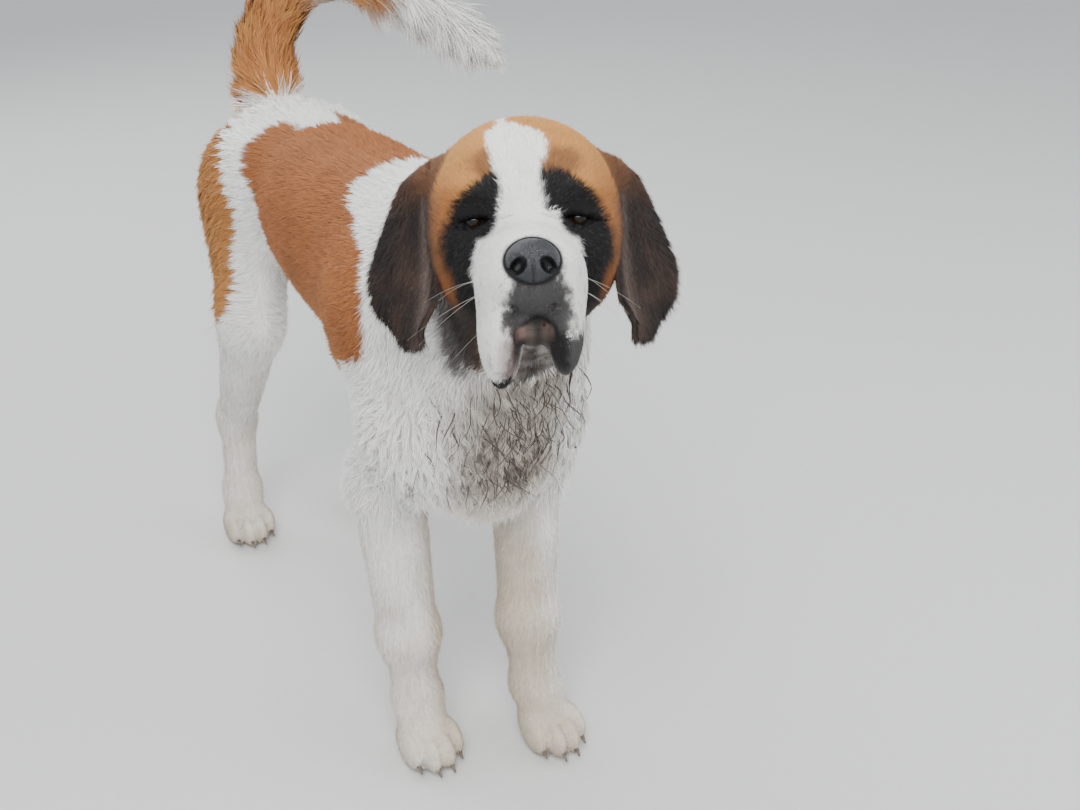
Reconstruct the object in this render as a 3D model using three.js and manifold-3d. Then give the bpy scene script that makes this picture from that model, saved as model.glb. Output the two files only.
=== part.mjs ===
// A Saint Bernard, standing with its head turned to its right and lifted, and its tail swung up and to its left.
// Units are millimetres, +Z is up, and the dog faces -Y, so that its left side is +X.
// The flesh is one smooth field of balls and limbs, drawn as facets region by region and parted by planes.
import * as THREE from "three";
import { mergeVertices } from "three/addons/utils/BufferGeometryUtils.js";
import Module from "manifold-3d";

const wasm = await Module();
wasm.setup();

// Driving dimensions
const WITHERS = 790; // height of the coat at the shoulders
const CHEST_HALF_WIDTH = 128;
const SKULL_HALF_WIDTH = 99;
const EYE_APART = 104;
const EYE_RADIUS = 14;
const EAR_THICK = 9;
const PAW_HALF_WIDTH = 44;
const GAP = 0.3; // between nodes that touch
const SINK = 12; // how deep a lock's root is set in its node

// Where the head is, and how it is turned
const EYE_LEVEL = new THREE.Vector3(-44, -530, 844);
const HEAD_LIFT = THREE.MathUtils.degToRad(24);
const HEAD_TURN = THREE.MathUtils.degToRad(-26);

// Standing points of the legs, from the joint at the body down to the paw
const ELBOW_HEIGHT = 410;
const FORE = {
  right: { elbow: [-100, -234, ELBOW_HEIGHT], wrist: [-95, -258, 180], ankle: [-94, -272, 80], paw: [-96, -292, 0] },
  left: { elbow: [92, -262, ELBOW_HEIGHT], wrist: [66, -308, 180], ankle: [64, -330, 80], paw: [68, -350, 0] },
};
const HIND = {
  right: {
    hip: [-78, 322, 625], knee: [-118, 260, 468], hock: [-123, 410, 225], ankle: [-132, 404, 85], paw: [-136, 394, 0],
  },
  left: {
    hip: [78, 316, 625], knee: [116, 216, 466], hock: [112, 356, 225], ankle: [112, 346, 85], paw: [112, 334, 0],
  },
};

// Shapes of the field: each gives a distance, below zero inside

const { hypot, min, max, abs, cos, sin, PI } = Math;

function ball([cx, cy, cz], [rx, ry, rz]) {
  return (x, y, z) => {
    const u = (x - cx) / rx, v = (y - cy) / ry, w = (z - cz) / rz;
    const near = hypot(u, v, w);
    const steep = hypot(u / rx, v / ry, w / rz);
    return steep < 1e-9 ? -min(rx, ry, rz) : (near * (near - 1)) / steep;
  };
}

function limb([ax, ay, az], [bx, by, bz], ra, rb, narrow = 1) {
  const dx = bx - ax, dy = by - ay, dz = bz - az;
  const length2 = dx * dx + dy * dy + dz * dz;
  return (x, y, z) => {
    const t = min(1, max(0, ((x - ax) * dx + (y - ay) * dy + (z - az) * dz) / length2));
    return hypot((x - ax - t * dx) / narrow, y - ay - t * dy, z - az - t * dz) - (ra + t * (rb - ra));
  };
}

function blend(a, b, width) {
  const h = max(width - abs(a - b), 0) / width;
  return min(a, b) - h * h * width * 0.25;
}

function carve(a, b, width) {
  return -blend(-a, b, width);
}

// A field is a list of [shape, width of its blend with what came before]
function field(shapes) {
  return (x, y, z) => {
    let d = shapes[0][0](x, y, z);
    for (let i = 1; i < shapes.length; i++) d = blend(d, shapes[i][0](x, y, z), shapes[i][1]);
    return d;
  };
}

// Head, in its own frame: the origin between the eyes, -Y to the nose, and both sides alike

const headFrame = new THREE.Matrix4()
  .makeRotationZ(HEAD_TURN)
  .multiply(new THREE.Matrix4().makeRotationX(-HEAD_LIFT))
  .setPosition(EYE_LEVEL);
const headInverse = headFrame.clone().invert();
const onHead = (x, y, z) => new THREE.Vector3(x, y, z).applyMatrix4(headFrame).toArray();

const EYE_RISE = 2; // of the eyes over the head's own origin
const headShapes = field([
  [ball([0, 84, 26], [SKULL_HALF_WIDTH, 106, 90]), 1],
  [ball([0, 22, 40], [72, 52, 54]), 40],
  [ball([45, -2, 29], [31, 25, 15]), 16],
  [ball([60, 58, -22], [41, 66, 66]), 36],
  [ball([90, 92, 50], [27, 38, 24]), 26],
  [limb([0, 0, -38], [0, -92, -54], 44, 36), 26],
  [ball([27, -58, -62], [27, 54, 38]), 22],
  [ball([31, -55, -98], [21, 48, 57]), 14],
  [ball([0, -100, -60], [34, 24, 34]), 14],
  [limb([0, 30, -92], [0, -66, -98], 40, 24), 12],
  [ball([0, -82, -100], [22, 20, 17]), 8],
]);
const socket = ball([EYE_APART / 2, -12, EYE_RISE], [19, 16, 13]);
const stop = limb([0, -56, 18], [0, -14, 120], 12, 6);
const lipGap = ball([0, -92, -140], [19, 40, 40]);
const mouthLine = limb([48, 8, -112], [16, -104, -84], 4, 4);

function headField(x, y, z) {
  const m = headInverse.elements;
  const hx = abs(m[0] * x + m[4] * y + m[8] * z + m[12]);
  const hy = m[1] * x + m[5] * y + m[9] * z + m[13];
  const hz = m[2] * x + m[6] * y + m[10] * z + m[14];
  let d = headShapes(hx, hy, hz);
  d = carve(d, socket(hx, hy, hz), 8);
  d = carve(d, stop(hx, hy, hz), 16);
  d = carve(d, lipGap(hx, hy, hz), 10);
  return carve(d, mouthLine(hx, hy, hz), 5);
}

// Body, both sides alike but for the legs

const trunk = field([
  [ball([0, -70, WITHERS - 142], [CHEST_HALF_WIDTH, 275, 146]), 1],
  [ball([0, -190, WITHERS - 105], [74, 170, 103]), 60],
  [ball([0, -250, 530], [70, 90, 88]), 50],
  [ball([76, -250, 600], [58, 105, 135]), 50],
  [ball([72, -325, 522], [56, 66, 84]), 50],
  [ball([0, -335, 517], [84, 82, 120]), 50],
  [ball([0, 180, WITHERS - 122], [108, 230, 112]), 90],
  [ball([0, 318, WITHERS - 116], [108, 130, 108]), 70],
  [ball([66, 388, 600], [52, 62, 108]), 50],
]);

function legPair(legs, make) {
  return ["right", "left"].flatMap((side) => make(legs[side]));
}

function pawShapes([px, py, pz], ankle) {
  const toes = [-1.5, -0.5, 0.5, 1.5].map((place) => {
    const out = abs(place) > 1 ? 1 : 0;
    const toe = ball([px + place * 0.47 * PAW_HALF_WIDTH, py - 44 + out * 19, pz + 27], [14.5, 32, 27]);
    return [toe, 5];
  });
  return [
    [limb(ankle, [px, py - 4, pz + 38], 35, 36), 20],
    [ball([px, py - 8, pz + 26], [PAW_HALF_WIDTH - 3, 48, 29]), 16],
    ...toes,
  ];
}

const foreLegs = legPair(FORE, ({ elbow, wrist, ankle, paw }) => [
  [limb([elbow[0] * 0.9, elbow[1] - 50, elbow[2] + 100], elbow, 72, 52, 0.8), 40],
  [limb(elbow, wrist, 52, 42), 40],
  [ball([wrist[0], wrist[1] - 4, wrist[2]], [42, 41, 48]), 20],
  [limb(wrist, ankle, 39, 34), 20],
  ...pawShapes(paw, ankle),
]);
const hindLegs = legPair(HIND, ({ hip, knee, hock, ankle, paw }) => [
  [limb(hip, knee, 118, 68, 0.62), 50],
  [limb(knee, hock, 64, 37, 0.8), 40],
  [ball([hock[0], hock[1] + 12, hock[2] + 4], [29, 34, 40]), 24],
  [limb(hock, ankle, 33, 30), 20],
  ...pawShapes(paw, ankle),
]);

const POLL = onHead(0, 118, -4);
const THROAT = onHead(0, 62, -84);
const neckShapes = [
  [limb([0, -215, 636], POLL, 130, 86), 80],
  [limb([0, -325, 560], THROAT, 96, 58), 60],
  [ball([58, -384, 645], [56, 58, 92]), 50],
];

function legsAndTrunk(shapes) {
  return (x, y, z) => {
    let d = trunk(abs(x), y, z);
    for (const [shape, width] of shapes) d = blend(d, shape(x, y, z), width);
    return d;
  };
}
const bodyField = legsAndTrunk([...neckShapes, ...foreLegs, ...hindLegs]);
const dogField = (x, y, z) => blend(bodyField(x, y, z), headField(x, y, z), 26);

// The corners, edges and faces of one cell of a grid
const STEPS = [[1, 0, 0], [0, 1, 0], [0, 0, 1]];
const CORNERS = [0, 1, 2, 3, 4, 5, 6, 7].map((c) => [c & 1, (c >> 1) & 1, c >> 2]);
const EDGES = CORNERS.flatMap((a, i) => [1, 2, 4].filter((bit) => !(i & bit)).map((bit) => [i, i | bit]));
const FACES = [1, 2, 4].flatMap((bit) => [0, bit].map((set) => EDGES.flatMap(([a, b], e) =>
  (a & bit) === set && (b & bit) === set ? [e] : [])));
const edgeFrom = (corner, axis) => EDGES.findIndex(([a, b]) => a === corner && b === (corner | (1 << axis)));

// The edges of a cell that the surface crosses, in groups: each group is one sheet of the surface there
function sheets(inside) {
  const crossed = EDGES.map(([a, b]) => inside[a] !== inside[b]);
  const group = EDGES.map((_, e) => e);
  const join = (e, f) => {
    const [keep, drop] = [group[e], group[f]];
    group.forEach((g, n) => g === drop && (group[n] = keep));
  };
  for (const face of FACES) {
    const cut = face.filter((e) => crossed[e]);
    if (cut.length === 2) join(...cut);
    if (cut.length === 4)
      cut.forEach((e, n) => cut.slice(n + 1).forEach((f) => {
        if (EDGES[e].some((c) => inside[c] && EDGES[f].includes(c))) join(e, f);
      }));
  }
  return group.map((g, e) => (crossed[e] ? g : -1));
}

// Facets of a field inside a box of [low, high] corners, as a closed geometry with a point for each sheet of the
// surface in each cell. The box cuts it off roughly, so a plane cuts it again.
function facets(distance, [low, high], cell) {
  const [nx, ny, nz] = low.map((v, i) => Math.ceil((high[i] - v) / cell) + 1);
  const at = (i, j, k) => (k * ny + j) * nx + i;
  const value = new Float32Array(nx * ny * nz);
  for (let k = 0; k < nz; k++)
    for (let j = 0; j < ny; j++)
      for (let i = 0; i < nx; i++) {
        const rim = !i || !j || !k || i === nx - 1 || j === ny - 1 || k === nz - 1;
        const d = distance(low[0] + i * cell, low[1] + j * cell, low[2] + k * cell);
        value[at(i, j, k)] = rim ? max(d, cell / 2) : d;
      }
  const points = [];
  const found = new Map();
  for (let k = 0; k < nz - 1; k++)
    for (let j = 0; j < ny - 1; j++)
      for (let i = 0; i < nx - 1; i++) {
        const v = CORNERS.map(([a, b, c]) => value[at(i + a, j + b, k + c)]);
        const inside = v.map((d) => d < 0);
        if (inside.every((q) => q === inside[0])) continue;
        const groups = sheets(inside);
        const pointOf = new Map();
        for (const g of new Set(groups.filter((one) => one >= 0))) {
          const own = EDGES.filter((_, e) => groups[e] === g);
          const middle = [0, 1, 2].map((n) => own.reduce((sum, [a, b]) => {
            const t = v[a] / (v[a] - v[b]);
            return sum + CORNERS[a][n] + t * (CORNERS[b][n] - CORNERS[a][n]);
          }, 0) / own.length);
          pointOf.set(g, points.length);
          points.push([i, j, k].map((c, n) => low[n] + (c + middle[n]) * cell));
        }
        found.set(at(i, j, k), groups.map((g) => pointOf.get(g)));
      }
  const quads = [];
  const round = [[0, 0], [1, 0], [1, 1], [0, 1]];
  for (let k = 0; k < nz - 1; k++)
    for (let j = 0; j < ny - 1; j++)
      for (let i = 0; i < nx - 1; i++)
        STEPS.forEach(([a, b, c], n) => {
          const here = value[at(i, j, k)] < 0;
          if (here === value[at(i + a, j + b, k + c)] < 0) return;
          const [m, l] = [(n + 1) % 3, (n + 2) % 3];
          const quad = round.map(([p, q]) => {
            const back = [0, 1, 2].map((o) => p * STEPS[m][o] + q * STEPS[l][o]);
            const corner = (p << m) | (q << l);
            return found.get(at(i - back[0], j - back[1], k - back[2]))[edgeFrom(corner, n)];
          });
          quads.push(here ? quad : quad.reverse());
        });
  settle(points, quads, distance, cell);
  const triangles = quads.flatMap(([a, b, c, d]) => {
    const across = (p, q) => hypot(...points[p].map((v, n) => v - points[q][n]));
    return across(a, c) < across(b, d) ? [a, b, c, a, c, d] : [a, b, d, b, c, d];
  });
  const made = new THREE.BufferGeometry();
  made.setAttribute("position", new THREE.Float32BufferAttribute(points.flat(), 3));
  return made.setIndex(triangles);
}

// A field's facets as a solid, with the facets it can do without left out
const mesh = (distance, box, cell, tolerance) => solidOf(facets(distance, box, cell)).simplify(tolerance);

// Spreads the points evenly and draws each onto the field's surface
function settle(points, quads, distance, cell) {
  const near = points.map(() => new Set());
  for (const quad of quads) quad.forEach((p, n) => near[p].add(quad[(n + 1) % 4]).add(quad[(n + 3) % 4]));
  const reach = cell * 0.45;
  for (let round = 0; round < 5; round++) {
    if (round > 0 && round < 4) {
      const middle = near.map((set) => [0, 1, 2].map((n) =>
        [...set].reduce((sum, p) => sum + points[p][n], 0) / set.size));
      points.forEach((p, i) => middle[i].forEach((v, n) => (p[n] += 0.5 * (v - p[n]))));
    }
    for (const p of points) {
      const d = distance(...p);
      if (abs(d) > reach * 1.5) continue;
      const slope = [0, 1, 2].map((n) => {
        const q = [...p];
        q[n] += 1;
        return distance(...q) - d;
      });
      const steep = slope[0] ** 2 + slope[1] ** 2 + slope[2] ** 2;
      if (steep > 0.05) slope.forEach((s, n) => (p[n] -= (d * s) / steep));
    }
  }
}

// Solids

function bare(geometry) {
  const copy = geometry.clone();
  for (const name of Object.keys(copy.attributes)) if (name !== "position") copy.deleteAttribute(name);
  return mergeVertices(copy, 1e-4);
}

function solidOf(geometry) {
  const merged = bare(geometry);
  return new wasm.Manifold(new wasm.Mesh({
    numProp: 3,
    vertProperties: new Float32Array(merged.attributes.position.array),
    triVerts: new Uint32Array(merged.index.array),
  }));
}

function geometryOf(solid) {
  const { vertProperties, triVerts } = solid.getMesh();
  const made = new THREE.BufferGeometry();
  made.setAttribute("position", new THREE.Float32BufferAttribute(vertProperties, 3));
  return made.setIndex([...triVerts]);
}

const largest = (solid) => solid.decompose().sort((a, b) => b.volume() - a.volume())[0];

// The same solid with its skin moved out by some way
function grown(solid, by = GAP * 1.4) {
  const geometry = geometryOf(solid);
  geometry.computeVertexNormals();
  const { position, normal } = geometry.attributes;
  for (let i = 0; i < position.count; i++)
    position.setXYZ(i, ...["X", "Y", "Z"].map((a) => position[`get${a}`](i) + by * normal[`get${a}`](i)));
  return solidOf(geometry);
}

// The side of a plane that its normal points to, half a gap away from it
function beyond(solid, point, normal) {
  const n = new THREE.Vector3(...normal).normalize();
  return solid.trimByPlane(n.toArray(), n.dot(new THREE.Vector3(...point)) + GAP / 2);
}
const opposite = (normal) => normal.map((v) => -v);
const before = (solid, point, normal) => beyond(solid, point, opposite(normal));

// A tapered, bent strip of few sides: hair that hangs together
function lock(points, width, thick, out) {
  const line = new THREE.CatmullRomCurve3(points.map((p) => new THREE.Vector3(...p)));
  const steps = 4;
  const ring = [[-1, 0], [0, 1], [1, 0], [0, -1]];
  const place = [];
  for (let s = 0; s < steps; s++) {
    const t = s / steps;
    const along = line.getTangentAt(t);
    const side = new THREE.Vector3().crossVectors(along, new THREE.Vector3(...out)).normalize();
    const up = new THREE.Vector3().crossVectors(side, along).normalize();
    const share = s === 0 ? 0.75 : 1 - t * t;
    for (const [a, b] of ring)
      place.push(line.getPointAt(t).addScaledVector(side, a * width * share / 2)
        .addScaledVector(up, b * thick * max(share, 0.4) / 2));
  }
  place.push(line.getPointAt(1));
  const tip = place.length - 1;
  const faces = [0, 1, 2, 0, 2, 3];
  for (let s = 0; s < steps; s++)
    for (let n = 0; n < 4; n++) {
      const a = s * 4 + n, b = s * 4 + ((n + 1) % 4);
      if (s === steps - 1) faces.push(a, tip, b);
      else faces.push(a, a + 4, b, b, a + 4, b + 4);
    }
  const made = new THREE.BufferGeometry().setFromPoints(place).setIndex(faces);
  const solid = solidOf(made);
  if (solid.volume() > 0) return solid;
  return solidOf(made.setIndex(faces.reverse()));
}

// Seeded draws, so that the locks vary in the same way each time
let seed = 20;
function vary(low, high) {
  seed = (seed * 16807) % 2147483647;
  return low + (high - low) * (seed / 2147483647);
}

// A point on the field's surface, going out from a point inside it, and the way out there
function surfaceFrom(inside, way) {
  const d = new THREE.Vector3(...way).normalize();
  let near = 0, far = 400;
  for (let n = 0; n < 30; n++) {
    const middle = (near + far) / 2;
    const p = inside.map((v, i) => v + d.getComponent(i) * middle);
    if (dogField(...p) < 0) near = middle;
    else far = middle;
  }
  const at = inside.map((v, i) => v + d.getComponent(i) * near);
  const f = dogField(...at);
  const out = new THREE.Vector3(...[0, 1, 2].map((n) => {
    const q = [...at];
    q[n] += 1;
    return dogField(...q) - f;
  })).normalize();
  return { at: new THREE.Vector3(...at), out };
}

// A lock that grows where a line out of the flesh meets its surface, and lies along it, its tip lifted a little
function coatLock(inside, way, lie, length, width, lift) {
  const { at, out } = surfaceFrom(inside, way);
  const along = new THREE.Vector3(...lie).projectOnPlane(out).normalize();
  const step = (share, rise) =>
    at.clone().addScaledVector(along, share * length).addScaledVector(out, rise).toArray();
  const line = [step(-0.1, -SINK), step(0.15, 1), step(0.55, lift * 0.7), step(1, lift)];
  return lock(line, width, width * 0.4, out.toArray());
}

// Rows of locks, each one a little out of line and of its own length
function locksOver(rows, make) {
  return rows.flatMap(([count, ...row], r) => Array.from({ length: count }, (_, n) => {
    const place = count === 1 ? 0 : (2 * (n + (r % 2) * 0.25)) / (count - 0.75) - 1;
    return make(place + vary(-0.05, 0.05), row, vary(0.82, 1.15));
  }));
}
const clearOf = (locks, names) => locks.map((one) =>
  names.reduce((left, name) => left.subtract(grown(nodes.get(name))), one));
const withLocks = (solid, locks) => locks.reduce((whole, one) => whole.add(one), solid).simplify(1.1);

// Nodes

const dog = new THREE.Group();
const COAT = { white: 0xe9e4da, tan: 0xb06a34, dark: 0x2b211d };
const nodes = new Map();

function node(name, solid, color, roughness = 0.85) {
  const whole = largest(largest(solid).simplify(0.1));
  const geometry = geometryOf(whole);
  const mesh = new THREE.Mesh(geometry, new THREE.MeshStandardMaterial({ color, roughness, metalness: 0 }));
  mesh.name = name;
  dog.add(mesh);
  nodes.set(name, whole);
  return whole;
}

// Planes that part the body: a point and the way towards the node that is named first
const headPlane = [onHead(0, 112, -60), new THREE.Vector3(0, -1, 0.25).transformDirection(headFrame).toArray()];
const neckPlane = [[0, -300, 655], [0, -0.72, 0.7]];
const CHEST_END = -60;
const RUMP_START = 150;
const LEG_TOP = 405;
const LEG_SPLIT = { fore: -16, hind: 0 }; // where a plane passes between the legs
const KNEE_HEIGHT = 440;
const WRIST_HEIGHT = 165;
const HOCK_HEIGHT = 195;

// Trunk
const body = mesh(bodyField, [[-200, -470, 300], [200, 500, 860]], 24, 3.5);
const shoulders = before(body, ...neckPlane);
const chestPlain = before(beyond(shoulders, [0, 0, LEG_TOP], [0, 0, 1]), [0, CHEST_END, 0], [0, 1, 0]);
const barrel = before(
  beyond(beyond(shoulders, [0, 0, LEG_TOP], [0, 0, 1]), [0, CHEST_END, 0], [0, 1, 0]), [0, RUMP_START, 0], [0, 1, 0]);

// Neck
const neckSolid = mesh(dogField, [[-260, -520, 440], [220, -100, 960]], 22, 3);
const neckPlain = before(beyond(neckSolid, ...neckPlane), ...headPlane);

// Head, finer at the face
const FACE_BACK = 34;
const facePlane = [onHead(0, FACE_BACK, 0), new THREE.Vector3(0, -1, 0).transformDirection(headFrame).toArray()];
const headBox = [[-260, -760, 640], [140, -330, 1010]];
const faceMesh = mesh(dogField, headBox, 8.5, 1.45);
const skullMesh = mesh(dogField, headBox, 16, 3);
const faceHalf = beyond(faceMesh, onHead(0, FACE_BACK + 1, 0), facePlane[1]);
const skullHalf = before(beyond(skullMesh, ...headPlane), ...facePlane);
const skull = largest(faceHalf.add(skullHalf));

function mirrored(make) {
  return [["right", -1], ["left", 1]].map(([side, way]) => [side, make(way)]);
}
const toWorld = (geometry) => solidOf(bare(geometry).applyMatrix4(headFrame));

// Eyes and lids
const EYE_BACK = 7;
const eyes = mirrored((way) =>
  toWorld(new THREE.SphereGeometry(EYE_RADIUS, 12, 8).translate((way * EYE_APART) / 2, EYE_BACK, EYE_RISE)));
function lid(way, rise) {
  const half = 17;
  const arc = [];
  for (let n = 0; n <= 6; n++) {
    const a = (n / 6) * PI;
    const x = (way * EYE_APART) / 2 + half * cos(a);
    const bulge = Math.sqrt(max(0, (EYE_RADIUS + 2) ** 2 - (half * cos(a)) ** 2 * 0.8));
    arc.push(onHead(x, EYE_BACK - bulge * 0.92, EYE_RISE + rise * sin(a)));
  }
  return lock(arc, 11, 9, new THREE.Vector3(0, -1, 0).transformDirection(headFrame).toArray());
}
const lids = [-1, 1].flatMap((way) => [lid(way, 9), lid(way, -8)]);

// Nose: a rounded block with two nostrils
const NOSE = { at: [0, -118, -44], half: [29, 20, 21] };
const noseBlock = new THREE.SphereGeometry(1, 16, 10);
{
  const p = noseBlock.attributes.position;
  for (let i = 0; i < p.count; i++) {
    const v = [p.getX(i), p.getY(i), p.getZ(i)];
    const square = v.map((c) => Math.sign(c) * abs(c) ** 0.8);
    const taper = 1 - 0.22 * max(0, -square[2]);
    p.setXYZ(i, square[0] * NOSE.half[0] * taper, square[1] * NOSE.half[1], square[2] * NOSE.half[2]);
  }
  noseBlock.translate(...NOSE.at);
}
const nostrils = [-1, 1].map((way) =>
  toWorld(new THREE.SphereGeometry(1, 8, 6).scale(8, 13, 6).rotateY(way * 0.35)
    .translate(way * 13, NOSE.at[1] - 20, NOSE.at[2] - 3)));

// Ears: a cupped leaf that hangs from the side of the skull, its back edge swung out
function ear(way) {
  // Height, middle, half width, and how far the back and front edges swing out and in, from the root to the tip
  const rows = [
    [60, 78, 100, 26, 0, 0],
    [70, 104, 96, 36, 5, 6],
    [56, 120, 92, 43, 11, 14],
    [24, 125, 87, 47, 20, 19],
    [-12, 127, 82, 50, 31, 22],
    [-46, 128, 77, 51, 40, 24],
    [-80, 127, 71, 45, 36, 20],
    [-106, 124, 64, 32, 18, 11],
    [-124, 121, 59, 13, 5, 3],
  ];
  const stations = rows.length, across = 7;
  const grid = [[], []];
  rows.forEach(([z, x, y, half, swing, tuck], s) => {
    for (let c = 0; c < across; c++) {
      const u = (c / (across - 1)) * 2 - 1;
      const fold = (s / stations) * 9 * sin(PI * u);
      const out = swing * max(0, u) ** 1.5 - tuck * max(0, -u) + fold;
      const thick = (EAR_THICK * (1 - 0.55 * u ** 4)) / 2;
      grid[0].push([x + out + thick, y + u * half, z]);
      grid[1].push([x + out - thick, y + u * half, z]);
    }
  });
  const n = stations * across;
  const place = [...grid[0], ...grid[1]].map(([x, y, z]) => new THREE.Vector3(way * x, y, z));
  const faces = [];
  const quad = (a, b, c, d) => faces.push(a, b, c, a, c, d);
  for (let s = 0; s < stations - 1; s++)
    for (let c = 0; c < across - 1; c++) {
      const a = s * across + c;
      quad(a, a + 1, a + across + 1, a + across);
      quad(n + a, n + a + across, n + a + across + 1, n + a + 1);
    }
  const rim = [];
  for (let c = 0; c < across; c++) rim.push(c);
  for (let s = 1; s < stations; s++) rim.push(s * across + across - 1);
  for (let c = across - 2; c >= 0; c--) rim.push((stations - 1) * across + c);
  for (let s = stations - 2; s > 0; s--) rim.push(s * across);
  rim.forEach((a, i) => {
    const b = rim[(i + 1) % rim.length];
    quad(b, a, n + a, n + b);
  });
  if (way < 0) for (let i = 0; i < faces.length; i += 3) [faces[i + 1], faces[i + 2]] = [faces[i + 2], faces[i + 1]];
  const geometry = new THREE.BufferGeometry().setFromPoints(place).setIndex(faces);
  const solid = toWorld(geometry.clone());
  if (solid.volume() > 0) return solid;
  for (let i = 0; i < faces.length; i += 3) [faces[i + 1], faces[i + 2]] = [faces[i + 2], faces[i + 1]];
  return toWorld(geometry.setIndex(faces));
}
const ears = mirrored(ear);

let headWhole = skull;
for (const [, eye] of eyes) headWhole = headWhole.subtract(grown(eye));
for (const one of lids) headWhole = headWhole.add(one);
for (const [, eye] of eyes) headWhole = headWhole.subtract(grown(eye, GAP));
const head = node("head", headWhole, COAT.tan);
const headGrown = grown(head);
for (const [side, eye] of eyes) node(`eye_${side}`, eye, 0x1a120d, 0.1);
let noseSolid = toWorld(noseBlock).subtract(headGrown);
for (const one of nostrils) noseSolid = noseSolid.subtract(one);
node("nose", noseSolid, 0x1c1c20, 0.4);

// Neck, with the ruff that hangs from the throat. A row is a count of locks, a height and a spread about the middle.
const throatLocks = locksOver([[4, 690, 0.95], [5, 640, 1.15]], (place, [height, spread], size) => {
  const turn = place * spread + HEAD_TURN * 0.4;
  const lie = [sin(turn) * 0.3, -0.3, -1];
  return coatLock([0, -320, height], [sin(turn), -cos(turn), -0.2], lie, 74 * size, 34, 12);
});
const neckCut = (solid) => before(beyond(solid, ...neckPlane), ...headPlane);
const neck = node("neck", neckCut(withLocks(neckPlain, throatLocks)), COAT.white);
for (const [side, solid] of ears) node(`ear_${side}`, solid.subtract(headGrown).subtract(grown(neck)), COAT.dark);

// Haunches are parted from the rump by slanting planes
const rumpWhole = beyond(beyond(shoulders, [0, 0, KNEE_HEIGHT], [0, 0, 1]), [0, RUMP_START, 0], [0, 1, 0]);
const haunchPlane = (way) => [[way * 62, 300, KNEE_HEIGHT + 192], [way * 0.95, 0, -0.307]];
let rump = rumpWhole;
const haunches = mirrored((way) => {
  rump = before(rump, ...haunchPlane(way));
  return beyond(rumpWhole, ...haunchPlane(way));
});

// Tail: three lengths along one curve, each a lathe bent to it
const TAIL_ROOT = [0, 396, 738];
const tailLine = new THREE.CatmullRomCurve3([
  TAIL_ROOT, [4, 438, 786], [16, 453, 852], [62, 440, 925], [150, 410, 948], [240, 372, 910], [318, 336, 852],
  [366, 312, 806],
].map((p) => new THREE.Vector3(...p)));
const TAIL_SIDES = 10;
function tailRadius(t) {
  return t < 0.15 ? 50 + 40 * t : 56 * (1 - 0.8 * ((t - 0.15) / 0.85) ** 1.7);
}
function tailLength(from, to, steps) {
  const place = [];
  const faces = [];
  const frames = tailLine.computeFrenetFrames(60, false);
  for (let s = 0; s <= steps; s++) {
    const t = from + ((to - from) * s) / steps;
    const f = Math.round(t * 60);
    for (let n = 0; n < TAIL_SIDES; n++) {
      const a = (n / TAIL_SIDES) * 2 * PI;
      place.push(tailLine.getPointAt(t).addScaledVector(frames.normals[f], cos(a) * tailRadius(t))
        .addScaledVector(frames.binormals[f], sin(a) * tailRadius(t)));
    }
  }
  const last = steps * TAIL_SIDES;
  place.push(tailLine.getPointAt(from), tailLine.getPointAt(to));
  for (let n = 0; n < TAIL_SIDES; n++) {
    const m = (n + 1) % TAIL_SIDES;
    for (let s = 0; s < steps; s++) {
      const r = s * TAIL_SIDES;
      faces.push(r + n, r + m, r + TAIL_SIDES + n, r + m, r + TAIL_SIDES + m, r + TAIL_SIDES + n);
    }
    faces.push(place.length - 2, m, n, place.length - 1, last + n, last + m);
  }
  const solid = solidOf(new THREE.BufferGeometry().setFromPoints(place).setIndex(faces));
  if (solid.volume() > 0) return solid;
  return solidOf(new THREE.BufferGeometry().setFromPoints(place).setIndex(faces.reverse()));
}
// Hair on the tail lies along it, and hangs from the length that runs level
function tailLock(t, turn, length, width) {
  const at = tailLine.getPointAt(t);
  const along = tailLine.getTangentAt(t);
  const down = new THREE.Vector3(0, 0, -1).projectOnPlane(along).normalize();
  const side = new THREE.Vector3().crossVectors(along, down);
  const out = down.multiplyScalar(cos(turn)).addScaledVector(side, sin(turn));
  const hang = min(1, max(0, (t - 0.35) * 2.4));
  const step = (share, rise) => at.clone().addScaledVector(along, share * length * (1 - 0.3 * hang))
    .addScaledVector(out, tailRadius(t) * (1 - share * 0.3) + rise)
    .add(new THREE.Vector3(0, 0, -share * share * hang * length * 0.45)).toArray();
  return lock([step(-0.1, -SINK), step(0.15, 1), step(0.55, 6), step(1, 8)], width, width * 0.4, out.toArray());
}
const tailLocks = locksOver(
  [[2, 0.24, 2.4], [2, 0.4, 1.9], [3, 0.52, 1.4], [3, 0.64, 1.3], [4, 0.75, 1.2], [4, 0.86, 1.3], [4, 0.95, 1.8]],
  (place, [t, spread], size) => tailLock(t + vary(-0.02, 0.02), place * spread, 86 * size, 32),
);
const TAIL_CUTS = [0, 0.33, 0.62, 1];
const TAIL_NAMES = ["tail_root", "tail_middle", "tail_tip"];
const tailPlane = (t) => [tailLine.getPointAt(t).toArray(), tailLine.getTangentAt(t).toArray()];
const tailWhole = withLocks(tailLength(0, 1, 18), tailLocks);
const rumpNode = node("rump", rump, COAT.white);
TAIL_NAMES.forEach((name, n) => {
  let solid = tailWhole;
  if (n > 0) solid = beyond(solid, ...tailPlane(TAIL_CUTS[n]));
  if (n < 2) solid = before(solid, ...tailPlane(TAIL_CUTS[n + 1]));
  if (n === 0) solid = solid.subtract(grown(rumpNode, GAP));
  node(name, solid, n < 2 ? COAT.tan : COAT.white);
});

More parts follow.
